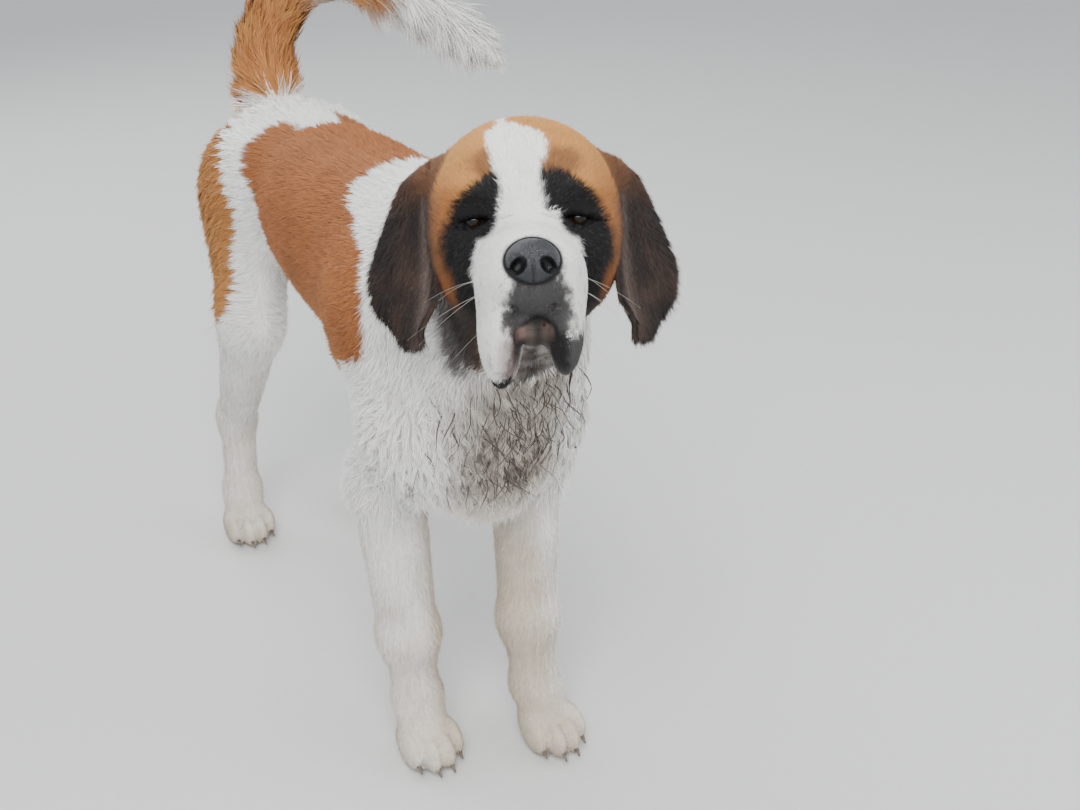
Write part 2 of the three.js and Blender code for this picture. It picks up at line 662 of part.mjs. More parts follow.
// Legs below the body, with the feathering behind the forearms
const forelegs = mesh(bodyField, [[-210, -430, 100], [190, -100, LEG_TOP + 50]], 19, 2.2);
const hindlegs = mesh(bodyField, [[-210, 60, 130], [210, 520, KNEE_HEIGHT + 50]], 19, 2.2);
for (const [side, way] of [["right", -1], ["left", 1]]) {
  const { elbow, wrist } = FORE[side];
  const feathers = locksOver([[1, 0.25], [2, 0.48], [1, 0.72]], (place, [share], size) => {
    const middle = elbow.map((v, i) => v + share * (wrist[i] - v));
    return coatLock(middle, [way * 0.2 + place * 0.35, 1, 0], [0, 0.25, -1], 56 * size, 26, 9);
  });
  const fore = beyond(withLocks(forelegs, feathers), [LEG_SPLIT.fore, 0, 0], [way, 0, 0]);
  const foreLength = before(fore, [0, 0, LEG_TOP], [0, 0, 1]);
  node(`foreleg_${side}`, beyond(foreLength, [0, 0, WRIST_HEIGHT], [0, 0, 1]), COAT.white);
  const hind = beyond(hindlegs, [LEG_SPLIT.hind, 0, 0], [way, 0, 0]);
  const hindLength = before(hind, [0, 0, KNEE_HEIGHT], [0, 0, 1]);
  node(`hindleg_${side}`, beyond(hindLength, [0, 0, HOCK_HEIGHT], [0, 0, 1]), COAT.white);
  const paws = [
    ["forepaw", FORE[side].paw, WRIST_HEIGHT, [-130, 90]],
    ["hindpaw", HIND[side].paw, HOCK_HEIGHT, [-130, 110]],
  ];
  for (const [name, at, top, [front, back]] of paws) {
    const box = [[at[0] - 75, at[1] + front, -20], [at[0] + 75, at[1] + back, top + 25]];
    const foot = before(mesh(bodyField, box, 12, 1.8), [0, 0, top], [0, 0, 1]);
    node(`${name}_${side}`, beyond(foot, [0, 0, -GAP / 2], [0, 0, 1]), COAT.white);
  }
}

// Chest, with the hair that hangs over the breast
const chestLocks = locksOver([[4, 535, 1.05], [5, 480, 1.15], [4, 440, 0.8]], (place, [height, spread], size) => {
  const turn = place * spread;
  const lie = [sin(turn) * 0.2, -0.15, -1];
  return coatLock([0, -300, height], [sin(turn), -cos(turn), 0], lie, 66 * size, 32, 11);
});
const chestCut = (solid) => before(beyond(solid, [0, 0, LEG_TOP - 42], [0, 0, 1]), ...neckPlane);
const hanging = clearOf(chestLocks, ["foreleg_right", "foreleg_left"]);
node("chest", chestCut(withLocks(chestPlain, hanging)), COAT.white);
node("barrel", barrel, COAT.tan);

// Haunches, with the breeches that hang behind the thighs
for (const [side, solid] of haunches) {
  const way = side === "right" ? -1 : 1;
  const [, back] = HIND[side].hip;
  const breeches = locksOver([[2, 625], [3, 560], [3, 492]], (place, [height], size) => {
    const turn = 0.35 + place * 0.62;
    const out = [way * sin(turn), cos(turn), -0.15];
    return coatLock([way * 80, back, height], out, [0, 0.12, -1], 78 * size, 34, 12);
  });
  const hanging = clearOf(breeches, [`hindleg_${side}`]);
  node(`haunch_${side}`, beyond(withLocks(solid, hanging), ...haunchPlane(way)), COAT.tan);
}

// The origin is on the floor, below the middle of the whole
const whole = new THREE.Box3().setFromObject(dog);
dog.position.set(-(whole.min.x + whole.max.x) / 2, -(whole.min.y + whole.max.y) / 2, -whole.min.z);

export default dog;
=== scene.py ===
"""Dresses the solids of a standing Saint Bernard: skin, eyes, nose, claws, whiskers and a coat of tufts."""

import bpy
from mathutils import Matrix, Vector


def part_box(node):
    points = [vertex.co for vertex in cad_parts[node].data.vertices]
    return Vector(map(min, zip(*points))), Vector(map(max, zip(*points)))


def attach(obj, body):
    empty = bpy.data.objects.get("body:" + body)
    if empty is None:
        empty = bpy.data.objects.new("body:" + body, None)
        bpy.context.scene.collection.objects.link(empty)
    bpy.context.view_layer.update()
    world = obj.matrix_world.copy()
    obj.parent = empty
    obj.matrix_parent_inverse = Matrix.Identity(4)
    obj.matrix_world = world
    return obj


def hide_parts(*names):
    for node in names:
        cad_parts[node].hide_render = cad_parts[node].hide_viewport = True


bl_info = {
    "name": "Saint Bernard",
    "version": (1, 0, 0),
    "blender": (4, 5, 0),
    "location": "View3D > Sidebar > Dog",
    "description": "Builds the skin, coat, eyes and nose of a standing Saint Bernard over its packed solids",
    "category": "Object",
}

from math import cos, pi, radians, sin

import bmesh
import bpy
import numpy as np
from bpy.props import FloatProperty, FloatVectorProperty, IntProperty, PointerProperty, StringProperty
from mathutils import Matrix, Vector

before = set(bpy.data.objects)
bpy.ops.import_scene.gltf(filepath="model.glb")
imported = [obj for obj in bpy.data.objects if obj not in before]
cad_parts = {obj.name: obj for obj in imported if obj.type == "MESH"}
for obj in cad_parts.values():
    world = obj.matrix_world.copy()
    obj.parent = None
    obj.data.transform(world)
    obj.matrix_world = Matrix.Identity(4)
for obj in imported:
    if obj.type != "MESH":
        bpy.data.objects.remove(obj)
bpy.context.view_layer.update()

# The dog is set out in millimetres, +Z up, facing -Y, its left towards +X, on its own origin
EYE_LEVEL = np.array([-44.0, -530.0, 844.0])
HEAD_LIFT = radians(24)
HEAD_TURN = radians(-26)
HEAD_TO_DOG = np.array((Matrix.Rotation(HEAD_TURN, 3, "Z") @ Matrix.Rotation(-HEAD_LIFT, 3, "X")))
EYE = {"apart": 104.0, "radius": 14.0, "back": 7.0, "rise": 2.0}
WITHERS = 790.0
SKULL_HALF_WIDTH = 99.0
CHEST_HALF_WIDTH = 128.0
PAW_HALF_WIDTH = 44.0
ELBOW_HEIGHT = 410.0
# How far each toe is across the paw, and how far the outer ones lie behind the others
TOES = [(share * 0.47 * PAW_HALF_WIDTH, 19 if abs(share) > 1 else 0) for share in (-1.5, -0.5, 0.5, 1.5)]
FORE = {
    "right": {"elbow": (-100, -234, ELBOW_HEIGHT), "wrist": (-95, -258, 180), "ankle": (-94, -272, 80),
              "paw": (-96, -292, 0)},
    "left": {"elbow": (92, -262, ELBOW_HEIGHT), "wrist": (66, -308, 180), "ankle": (64, -330, 80),
             "paw": (68, -350, 0)},
}
HIND = {
    "right": {"hip": (-78, 322, 625), "knee": (-118, 260, 468), "hock": (-123, 410, 225),
              "ankle": (-132, 404, 85), "paw": (-136, 394, 0)},
    "left": {"hip": (78, 316, 625), "knee": (116, 216, 466), "hock": (112, 356, 225), "ankle": (112, 346, 85),
             "paw": (112, 334, 0)},
}
TAIL_POINTS = [(0, 396, 738), (4, 438, 786), (16, 453, 852), (62, 440, 925), (150, 410, 948),
               (240, 372, 910), (318, 336, 852), (366, 312, 806)]
NOSE_AT = (0, -117, -48)
FLESH = ["head", "neck", "chest", "barrel", "rump", "haunch_right", "haunch_left"]
FLESH += ["tail_root", "tail_middle", "tail_tip"]
FLESH += [f"{part}_{side}" for part in ("ear", "foreleg", "forepaw", "hindleg", "hindpaw")
          for side in ("right", "left")]


def on_head(points):
    """Points of the head's own frame, set in the dog's."""
    return np.asarray(points, float) @ HEAD_TO_DOG.T + EYE_LEVEL


def off_head(points):
    """Points of the dog's frame, read in the head's own."""
    return (points - EYE_LEVEL) @ HEAD_TO_DOG


def frame_shift():
    """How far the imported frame's origin is from the dog's own, found from where the right eye is."""
    low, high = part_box("eye_right")
    eye = on_head([[-EYE["apart"] / 2, EYE["back"], EYE["rise"]]])[0]
    shift = (np.array(low) + np.array(high)) * 500 - eye
    shift[2] = 0
    return shift


SHIFT = frame_shift()


def to_frame(points):
    """Millimetres of the dog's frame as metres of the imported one."""
    return (np.asarray(points, float) + SHIFT) / 1000


def from_frame(points):
    """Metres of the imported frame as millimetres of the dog's."""
    return np.asarray(points, float) * 1000 - SHIFT


# Forms of the flesh: balls and limbs, each a distance that is below zero inside

def ball(centre, radii):
    return {"kind": "ball", "a": np.array(centre, float), "r": np.array(radii, float)}


def limb(a, b, ra, rb, narrow=1.0):
    ends = {"a": np.array(a, float), "b": np.array(b, float)}
    return {"kind": "limb", **ends, "ra": ra, "rb": rb, "narrow": narrow}


def distance(form, p):
    if form["kind"] == "ball":
        q = (p - form["a"]) / form["r"]
        near = np.sqrt((q * q).sum(1))
        steep = np.sqrt(((q / form["r"]) ** 2).sum(1))
        return near * (near - 1) / np.maximum(steep, 1e-9)
    along = form["b"] - form["a"]
    t = np.clip((p - form["a"]) @ along / (along @ along), 0, 1)
    q = p - form["a"] - t[:, None] * along
    q[:, 0] /= form["narrow"]
    return np.sqrt((q * q).sum(1)) - (form["ra"] + t * (form["rb"] - form["ra"]))


def blend(a, b, width):
    h = np.maximum(width - np.abs(a - b), 0) / width
    return np.minimum(a, b) - h * h * width * 0.25


def carve(a, b, width):
    return -blend(-a, b, width)


def merged(forms, p, start=None):
    d = start
    for form, width in forms:
        own = distance(form, p)
        d = own if d is None else blend(d, own, width)
    return d


HEAD_FORMS = [
    (ball((0, 84, 26), (SKULL_HALF_WIDTH, 106, 90)), 1),
    (ball((0, 22, 40), (72, 52, 54)), 40),
    (ball((45, -2, 29), (31, 25, 15)), 16),
    (ball((60, 58, -22), (41, 66, 66)), 36),
    (ball((90, 92, 50), (27, 38, 24)), 26),
    (limb((0, 0, -38), (0, -92, -54), 44, 36), 26),
    (ball((27, -58, -62), (27, 54, 38)), 22),
    (ball((31, -55, -98), (21, 48, 57)), 14),
    (ball((0, -100, -60), (34, 24, 34)), 14),
    (limb((0, 30, -92), (0, -66, -98), 40, 24), 12),
    (ball((0, -82, -100), (22, 20, 17)), 8),
]
# Cuts in the head: the furrow of the brow, the line of the lips, the groove under the nose and the nose's bed
HEAD_CUTS = [
    (limb((0, -56, 18), (0, -14, 120), 12, 6), 16),
    (limb((48, 8, -112), (16, -104, -84), 4, 4), 5),
    (limb((0, -128, -76), (0, -124, -96), 1.2, 1.6), 4),
    (ball((0, -132, -46), (22, 22, 16)), 5),
]
LOWER_LIP = ball((0, -75, -114), (22, 23, 12))
MOUTH = ball((4, -92, -140), (18, 40, 40))
RIGHT_FLEW = ball((-31, -52, -118), (20, 36, 48))
FOLD_CUTS = [
    (limb((33, -40, 22), (52, -34, 21), 0.8, 0.8), 6),
    (limb((52, -34, 21), (72, -16, 10), 0.8, 0.8), 6),
    (limb((28, -48, 34), (46, -30, 44), 0.8, 0.8), 8),
    (limb((36, -32, -20), (54, -28, -23), 0.8, 0.8), 5),
    (limb((54, -28, -23), (72, -14, -14), 0.8, 0.8), 5),
    (limb((60, -10, -42), (64, 22, -86), 1.0, 1.0), 8),
    (limb((50, -20, -46), (56, 10, -96), 0.8, 0.8), 6),
]
TRUNK_FORMS = [
    (ball((0, -70, WITHERS - 142), (CHEST_HALF_WIDTH, 275, 146)), 1),
    (ball((0, -190, WITHERS - 105), (74, 170, 103)), 60),
    (ball((0, -250, 530), (70, 90, 88)), 50),
    (ball((76, -250, 600), (58, 105, 135)), 50),
    (ball((72, -325, 522), (56, 66, 84)), 50),
    (ball((0, -335, 517), (84, 82, 120)), 50),
    (ball((0, 180, WITHERS - 122), (108, 230, 112)), 90),
    (ball((0, 318, WITHERS - 116), (108, 130, 108)), 70),
    (ball((66, 388, 600), (52, 62, 108)), 50),
]
NECK_FORMS = [
    (limb((0, -215, 636), on_head([[0, 118, -4]])[0], 130, 86), 80),
    (limb((0, -325, 560), on_head([[0, 62, -84]])[0], 96, 58), 60),
    (ball((58, -384, 645), (56, 58, 92)), 50),
]


def paw_forms(paw, ankle):
    px, py = paw[:2]
    forms = [
        (limb(ankle, (px, py - 4, 38), 35, 36), 20),
        (ball((px, py - 8, 26), (PAW_HALF_WIDTH - 3, 48, 29)), 16),
    ]
    for along, back in TOES:
        forms.append((ball((px + along, py - 44 + back, 27), (14.5, 32, 27)), 5))
    return forms


def leg_forms():
    forms = []
    for side in ("right", "left"):
        x, y, z = FORE[side]["elbow"]
        wrist, ankle = FORE[side]["wrist"], FORE[side]["ankle"]
        forms += [
            (limb((x * 0.9, y - 50, z + 100), (x, y, z), 72, 52, 0.8), 40),
            (limb((x, y, z), wrist, 52, 42), 40),
            (ball((wrist[0], wrist[1] - 4, wrist[2]), (42, 41, 48)), 20),
            (limb(wrist, ankle, 39, 34), 20),
        ] + paw_forms(FORE[side]["paw"], ankle)
    for side in ("right", "left"):
        hip, knee, hock, ankle, paw = HIND[side].values()
        forms += [
            (limb(hip, knee, 118, 68, 0.62), 50),
            (limb(knee, hock, 64, 37, 0.8), 40),
            (ball((hock[0], hock[1] + 12, hock[2] + 4), (29, 34, 40)), 24),
            (limb(hock, ankle, 33, 30), 20),
        ] + paw_forms(paw, ankle)
    return forms


LEG_FORMS = leg_forms()


def tail_line(steps):
    """Points along a smooth curve through the tail's points, and each one's share of the way."""
    p = np.array([TAIL_POINTS[0]] + TAIL_POINTS + [TAIL_POINTS[-1]], float)
    p[0] = 2 * p[1] - p[2]
    p[-1] = 2 * p[-2] - p[-3]
    fine = []
    for i in range(1, len(p) - 2):
        for t in np.linspace(0, 1, 24, endpoint=False):
            a, b, c, d = p[i - 1:i + 3]
            bend = (2 * a - 5 * b + 4 * c - d) * t * t + (3 * b - a - 3 * c + d) * t ** 3
            fine.append(0.5 * (2 * b + (c - a) * t + bend))
    fine.append(p[-2])
    fine = np.array(fine)
    run = np.r_[0, np.cumsum(np.linalg.norm(np.diff(fine, axis=0), axis=1))]
    share = np.linspace(0, 1, steps)
    return np.stack([np.interp(share * run[-1], run, fine[:, k]) for k in range(3)], 1), share


def tail_radius(t):
    """The radius of the tail with its coat, by the share of the way along it."""
    return np.where(t < 0.15, 50 + 40 * t, 56 * (1 - 0.8 * (np.maximum(t - 0.15, 0) / 0.85) ** 1.7))


TAIL_LINE, TAIL_SHARE = tail_line(40)


def tail_place(p):
    """The share of the way along the tail that is nearest to each point, and how far off it is."""
    gap = np.linalg.norm(p[:, None, :] - TAIL_LINE[None], axis=2)
    near = gap.argmin(1)
    return TAIL_SHARE[near], gap.min(1)


def tail_forms():
    core = tail_radius(TAIL_SHARE) * np.interp(TAIL_SHARE, (0, 0.2, 1), (0.82, 0.6, 0.45))
    starts = range(0, len(TAIL_LINE) - 2, 2)
    return [(limb(TAIL_LINE[i], TAIL_LINE[i + 2], core[i], core[i + 2]), 14) for i in starts]


TAIL_FORMS = tail_forms()


def both_sides(p):
    q = p.copy()
    q[:, 0] = np.abs(q[:, 0])
    return q


def head_distance(p, fine):
    own = off_head(p)
    h = both_sides(own)
    d = blend(merged(HEAD_FORMS, h), distance(RIGHT_FLEW, own), 12)
    for cut, width in HEAD_CUTS:
        d = carve(d, distance(cut, h), width)
    d = carve(d, distance(MOUTH, own), 10)
    d = blend(d, distance(LOWER_LIP, h), 4)
    if fine:
        for cut, width in FOLD_CUTS:
            d = carve(d, distance(cut, h), width)
    return d


def lidded(d, p):
    """Adds the lids: a shell round each eye with a drooping slit."""
    h = both_sides(off_head(p))
    x, z = h[:, 0] - EYE["apart"] / 2, h[:, 2] - EYE["rise"]
    eye = np.array((EYE["apart"] / 2, EYE["back"], EYE["rise"]))
    shell = np.linalg.norm(h - eye, axis=1) - (EYE["radius"] + 2.4)
    d = blend(d, shell, 7)
    slit = np.hypot(x / 12.0, (z + 3.4 + 0.12 * x) / 3.7)
    gap = np.where(h[:, 1] < 6, (slit - 1) * 4.0, 20.0)
    return carve(d, gap, 2.0)


def step(x, low, high):
    """From 0 at the low end to 1 at the high one, eased."""
    t = np.clip((x - low) / (high - low), 0, 1)
    return t * t * (3 - 2 * t)


def head_share(p):
    """One on the head, none behind the poll."""
    h = off_head(p)
    before_poll = step(-(h[:, 1] - 118) + 0.25 * (h[:, 2] + 60), -30, 30)
    return before_poll * step(h[:, 2], -230, -160) * (h[:, 1] > -220)


def coat_depth(p):
    """How far the skin lies under the solids' surface."""
    h = off_head(p)
    head = head_share(p)
    face = step(h[:, 1], 90, 0)
    depth = 6.0 + 4 * step(p[:, 1], -250, -380) * step(p[:, 2], 420, 520)
    depth = depth + (3.5 - depth) * step(p[:, 2], 430, 330)
    depth = depth + (2.0 - depth) * step(p[:, 2], 110, 60)
    return depth + (3.2 - 2.0 * face - depth) * head


def flesh_distance(p, fine=True):
    d = merged(TRUNK_FORMS, both_sides(p))
    d = merged(NECK_FORMS, p, d)
    near = p[:, 2] < 760
    d[near] = merged(LEG_FORMS, p[near], d[near])
    head = head_distance(p, fine)
    d = blend(d, head, 26)
    if fine:
        close = np.abs(head) < 60
        d[close] = lidded(d[close], p[close])
    return d


def skin_distance(p, fine=True):
    d = flesh_distance(p, fine) + coat_depth(p)
    near = (p[:, 1] > 330) & (p[:, 2] > 640) | (p[:, 2] > 800) & (p[:, 1] > 200)
    if near.any():
        d[near] = merged(TAIL_FORMS, p[near], d[near])
    return d


def slope(field, p, reach=0.6):
    here = field(p)
    rise = np.stack([field(p + np.eye(3)[k] * reach) - here for k in range(3)], 1) / reach
    return here, rise


def settle(p, rounds=3, most=9.0):
    """Draws points onto the skin's surface."""
    for _ in range(rounds):
        d, rise = slope(skin_distance, p)
        steep = np.maximum((rise ** 2).sum(1), 0.15)
        move = -(d / steep)[:, None] * rise
        size = np.linalg.norm(move, axis=1)
        p = p + move * np.minimum(1, most / np.maximum(size, 1e-6))[:, None]
    return p


# Noise and markings

def hashed(cells, seed):
    n = cells.astype(np.int64)
    v = (n[:, 0] * 73856093) ^ (n[:, 1] * 19349663) ^ (n[:, 2] * 83492791) ^ (seed * 2654435761)
    v = (v ^ (v >> 13)) * 1274126177 & 0x7FFFFFFF
    v = (v ^ (v >> 15)) * 668265263 & 0x7FFFFFFF
    return (v % 100003) / 100003.0


def noise(p, size, seed=1):
    """Smooth noise from -1 to 1, with bumps of a size in millimetres."""
    q = p / size
    base = np.floor(q)
    t = q - base
    t = t * t * (3 - 2 * t)
    total = np.zeros(len(p))
    for corner in range(8):
        bits = np.array([corner & 1, corner >> 1 & 1, corner >> 2])
        weight = np.prod(np.where(bits, t, 1 - t), axis=1)
        total += weight * hashed(base + bits, seed)
    return total * 2 - 1


def mix(a, b, share):
    return a + (np.asarray(b) - a) * share[:, None]


COAT_COLOURS = {
    "white": (0.90, 0.885, 0.855),
    "cream": (0.60, 0.50, 0.38),
    "saddle": (0.34, 0.122, 0.040),
    "gold": (0.52, 0.245, 0.072),
    "brown": (0.17, 0.072, 0.034),
    "black": (0.011, 0.010, 0.011),
    "ear": (0.022, 0.016, 0.014),
    "grey": (0.15, 0.12, 0.105),
    "flew": (0.25, 0.16, 0.145),
    "lip": (0.20, 0.12, 0.11),
    # Dirty hair under the chin, darkened further as painted shade
    "chin_dirt_and_shade": (0.085, 0.066, 0.055),
    "ear_brown": (0.075, 0.042, 0.028),
    # A painted highlight on the fold of each ear
    "ear_fold_highlight": (0.13, 0.095, 0.080),
}


# Outlines of the markings: places along an axis, and where the edge is at each
BLAZE_MIDDLE = ((-20, 10, 60, 80, 97), (-3, -4, -7, -10, -20))
BLAZE_HALF_WIDTH = ((-30, -6, 9, 23, 43, 58, 72, 86, 97), (48, 37, 22, 18, 21, 25, 29, 24, 4))
MUZZLE_HALF_WIDTH = ((-90, -62, -44, -20), (80, 64, 56, 50))
EYE_PATCH_EDGE = ((-130, -112, -90, -70, -52, -29, -9, 12, 26, 38, 48),
                  (40, 56, 68, 78, 84, 86, 82, 72, 58, 42, 26))
DARK_LIP_HALF_WIDTH = ((-118, -100, -84, -70, -60), (30, 36, 33, 27, 24))
SADDLE_FRONT = ((545, 560, 632, 700, 742, 752, 760, 770, 786, 800),
                (-150, -190, -292, -292, -268, -205, -145, -112, -130, -120))
SADDLE_BACK = ((540, 578, 631, 665, 692, 708, 725, 751, 775, 784),
               (188, 176, 142, 160, 197, 223, 240, 246, 235, 170))
CROUP_HALF_WIDTH = ((148, 158, 170, 207, 235, 246), (-40, 20, 33, 28, 50, 89))
THIGH_FRONT = ((470, 497, 543, 590, 631, 668, 700, 729, 751), (262, 226, 226, 237, 232, 240, 263, 292, 352))
DIRTY_HALF_WIDTH = ((560, 700), (100, 70))


def white_of_face(h):
    """How far inside the blaze and the white muzzle a point of the head is, in millimetres."""
    z = h[:, 2]
    middle = np.interp(z, *BLAZE_MIDDLE)
    half = np.interp(z, *BLAZE_HALF_WIDTH)
    blaze = np.where(z > -30, half - np.abs(h[:, 0] - middle), -60)
    blaze = np.where((z > 30) & (h[:, 1] > 40), -40, blaze)
    muzzle = np.where(z < 6, -3 - 0.32 * (z + 48) - h[:, 1], -60)
    muzzle = np.minimum(muzzle, np.interp(z, *MUZZLE_HALF_WIDTH) - np.abs(h[:, 0]))
    return np.maximum(blaze, muzzle)


def head_colour(p):
    c = COAT_COLOURS
    h = off_head(p)
    wobble = 2.6 * noise(p, 9, 3) + 1.4 * noise(p, 3.5, 4)
    x, y, z = h[:, 0], h[:, 1], h[:, 2]
    ax = np.abs(x - 1)
    tone = np.array(c["gold"])[None] * (1 + 0.10 * noise(p, 20, 5))[:, None]
    tone = mix(tone, c["saddle"], 0.75 * step(ax, 48, 84) * step(z, 66, 10))
    tone = mix(tone, c["brown"], 0.75 * step(ax, 74, 98) * step(z, 50, 0))
    # Darker beside and under the ears, and low on the sides of the head: partly dark hair, partly painted
    # shade under the ears and the jaw
    under = step(ax + 0.45 * y, 92, 122) * step(z, 74, 40)
    tone = mix(tone, np.array(c["ear"]) * 1.4, 0.92 * under)
    tone = mix(tone, c["ear"], 0.9 * step(-z, 70, 100) * step(ax, 30, 52) * step(y, 0, 20))
    root = np.linalg.norm((np.stack([ax, y, z], 1) - np.array((96, 78, 56))) / (30, 60, 40), axis=1)
    tone = mix(tone, np.array(c["brown"]) * 0.7, 0.9 * step(root + 0.03 * wobble, 1.15, 0.65))
    # A brown spot over each eye, and black round the eye and down beside the muzzle
    brow = np.hypot((ax - 34) / 1.4, (z - 52)) + wobble
    tone = mix(tone, c["brown"], 0.75 * step(brow, 20, 8))
    outer = np.interp(z, *EYE_PATCH_EDGE)
    soft = np.interp(z, (-110, -40, 40), (16, 9, 7))
    patch = step(outer - ax + wobble, -soft, soft * 0.6) * step(y, 66, 36) * step(z + 0.5 * wobble, 50, 40)
    tone = mix(tone, c["black"], patch)
    cheek = step(np.hypot((ax - 84) / 0.7, (z + 72) * 0.55), 22, 10) * step(y, 70, 40)
    tone = mix(tone, np.array(c["saddle"]) * 0.8, 0.7 * cheek)
    # White
    inside = white_of_face(h) + wobble
    white = np.array(c["white"])[None] * (1 - 0.05 * step(noise(p, 6, 6), 0.2, 0.7))[:, None]
    tone = tone + (white - tone) * step(inside, -3, 3)[:, None]
    # Dark lips under the nose, with speckles
    spots = noise(p, 5, 7) + 0.6 * noise(p, 2.4, 8)
    lips = np.interp(z, *DARK_LIP_HALF_WIDTH) - np.abs(x - 4) + 6 * spots
    under_nose = step(y, -62, -80) * step(z, -48, -58)
    tone = mix(tone, np.array(c["black"]) * 1.6, 0.95 * step(lips, -5, 7) * under_nose)
    tone = mix(tone, c["grey"], 0.6 * step(spots, 0.5, 1.0) * step(y, -20, -60) * step(z, -36, -66))
    low = step(-z - 124 + 9 * spots + 0.3 * x, -4, 6) * step(x, 12, 24) * step(y, -30, -50)
    tone = mix(tone, np.array(c["black"]) * 1.3, low * (0.93 - 0.3 * step(spots, 0.7, 1.2)))
    pinkish = step(-z - 112 + 6 * spots, -8, 12) * step(-x, 8, 16) * step(x, -40, -28) * step(y, -30, -56)
    tone = mix(tone, c["flew"], 0.6 * pinkish)
    rim = step(-z - 153 + 4 * spots, 0, 4) * step(-x, 10, 20)
    tone = mix(tone, c["black"], rim)
    # Mouth and lower lip
    parted = distance(MOUTH, h)
    mouth = step(parted, 8, 3) * step(z, -70, -84)
    tone = mix(tone, np.array(c["black"]) * 1.5, mouth)
    lower = distance(LOWER_LIP, h)
    lower = step(lower, 4.5, 2.0)
    tone = mix(tone, np.array(c["black"]) * 2, lower)
    flesh = lower * step(z + 0.02 * ax * ax, -120, -112) * step(ax, 21, 13) * step(z, -100, -105)
    tone = mix(tone, c["lip"], flesh * (0.8 + 0.2 * noise(p, 4, 10)))
    # Lids
    eye = np.hypot(ax - 51, z - EYE["rise"])
    tone = mix(tone, np.array(c["black"]) * 0.8, step(eye, 24, 18) * step(y, 12, 2))
    bed = np.linalg.norm((h - np.array(NOSE_AT)) / (27.5, 24, 23.5), axis=1)
    return mix(tone, np.array(c["black"]), step(bed, 1.1, 0.98))


def body_colour(p):
    c = COAT_COLOURS
    wobble = 9 * noise(p, 42, 11) + 5 * noise(p, 16, 12) + 2.5 * noise(p, 6, 13)
    x, y, z = p.T
    side = np.where(x < 36, 0.0, 16 * noise(p + 500, 90, 14))
    tone = np.tile(np.array(c["white"]), (len(p), 1))
    # The saddle, from the shoulders to the flanks, with the white of the croup running into it
    front = np.interp(z, *SADDLE_FRONT)
    back = np.interp(z, *SADDLE_BACK)
    croup = np.interp(y, *CROUP_HALF_WIDTH)
    inside = np.minimum(np.minimum(y - front, back - y), np.minimum((z - 548) * 0.9, np.abs(x) - croup))
    saddle = step(inside + wobble + side, -5, 5)
    depth = np.array(c["saddle"])[None] * (1 + 0.12 * noise(p, 70, 15) + 0.08 * noise(p, 25, 16))[:, None]
    depth = mix(depth, c["gold"], 0.35 * step(z, 640, 560))
    tone = tone + (depth - tone) * saddle[:, None]
    # The brown at the back of the thighs
    edge = np.interp(z, *THIGH_FRONT)
    inside = np.minimum(np.minimum(y - edge, z - 478), np.minimum(758 - z, np.abs(x) - 34))
    thigh = step(inside + 0.8 * wobble + side, -4, 4)
    tone = tone + (mix(depth, c["gold"], 0.5 * np.ones(len(p))) - tone) * thigh[:, None]
    # Darker legs, belly and insides: partly dust, partly painted shade low on the legs, under the belly and
    # between the legs
    dust_and_shade = 0.42 * step(z, 440, 120) + 0.25 * step(z, 90, 20) + 0.22 * noise(p, 30, 17)
    inner = step(np.abs(x), 96, 60) * step(z, 520, 380)
    dust_and_shade = dust_and_shade + 0.35 * inner + 0.18 * step(z, 560, 520) * step(np.abs(x), 90, 50)
    white = 1 - np.maximum(saddle, thigh)
    tone = mix(tone, c["cream"], np.clip(dust_and_shade, 0, 0.85) * white * step(z, 640, 500))
    # The throat and breast are damp and dirty
    breast = step(y, -360, -410) * step(z, 430, 490) * step(z, 760, 700)
    breast = breast * step(np.abs(x + 14), np.interp(z, *DIRTY_HALF_WIDTH), 34)
    blotches = 0.55 + 0.7 * noise(p, 24, 18) + 0.4 * noise(p, 8, 19) + 0.5 * step(z, 660, 720)
    muddy = np.clip(breast * blotches, 0, 1)
    tone = mix(tone, c["cream"], 0.6 * breast)
    return mix(tone, c["grey"], 0.8 * muddy)


def tail_colour(p, share):
    c = COAT_COLOURS
    wobble = 0.03 * noise(p, 30, 21)
    tone = np.array(c["saddle"])[None] * (1 + 0.15 * noise(p, 30, 22))[:, None]
    tone = mix(tone, c["gold"], np.clip(0.45 + 0.4 * noise(p, 22, 23), 0, 1))
    near = np.interp(share, TAIL_SHARE, TAIL_LINE[:, 2])
    under = step(near - p[:, 2], 4, 24) * step(share, 0.3, 0.44)
    tone = mix(tone, c["white"], 0.85 * under)
    tone = mix(tone, np.array(c["white"]) * 0.92, step(share + wobble, 0.55, 0.62))
    return tone


def near_tail(p):
    return (p[:, 1] > 330) & (p[:, 2] > 640) | (p[:, 2] > 800) & (p[:, 1] > 200)


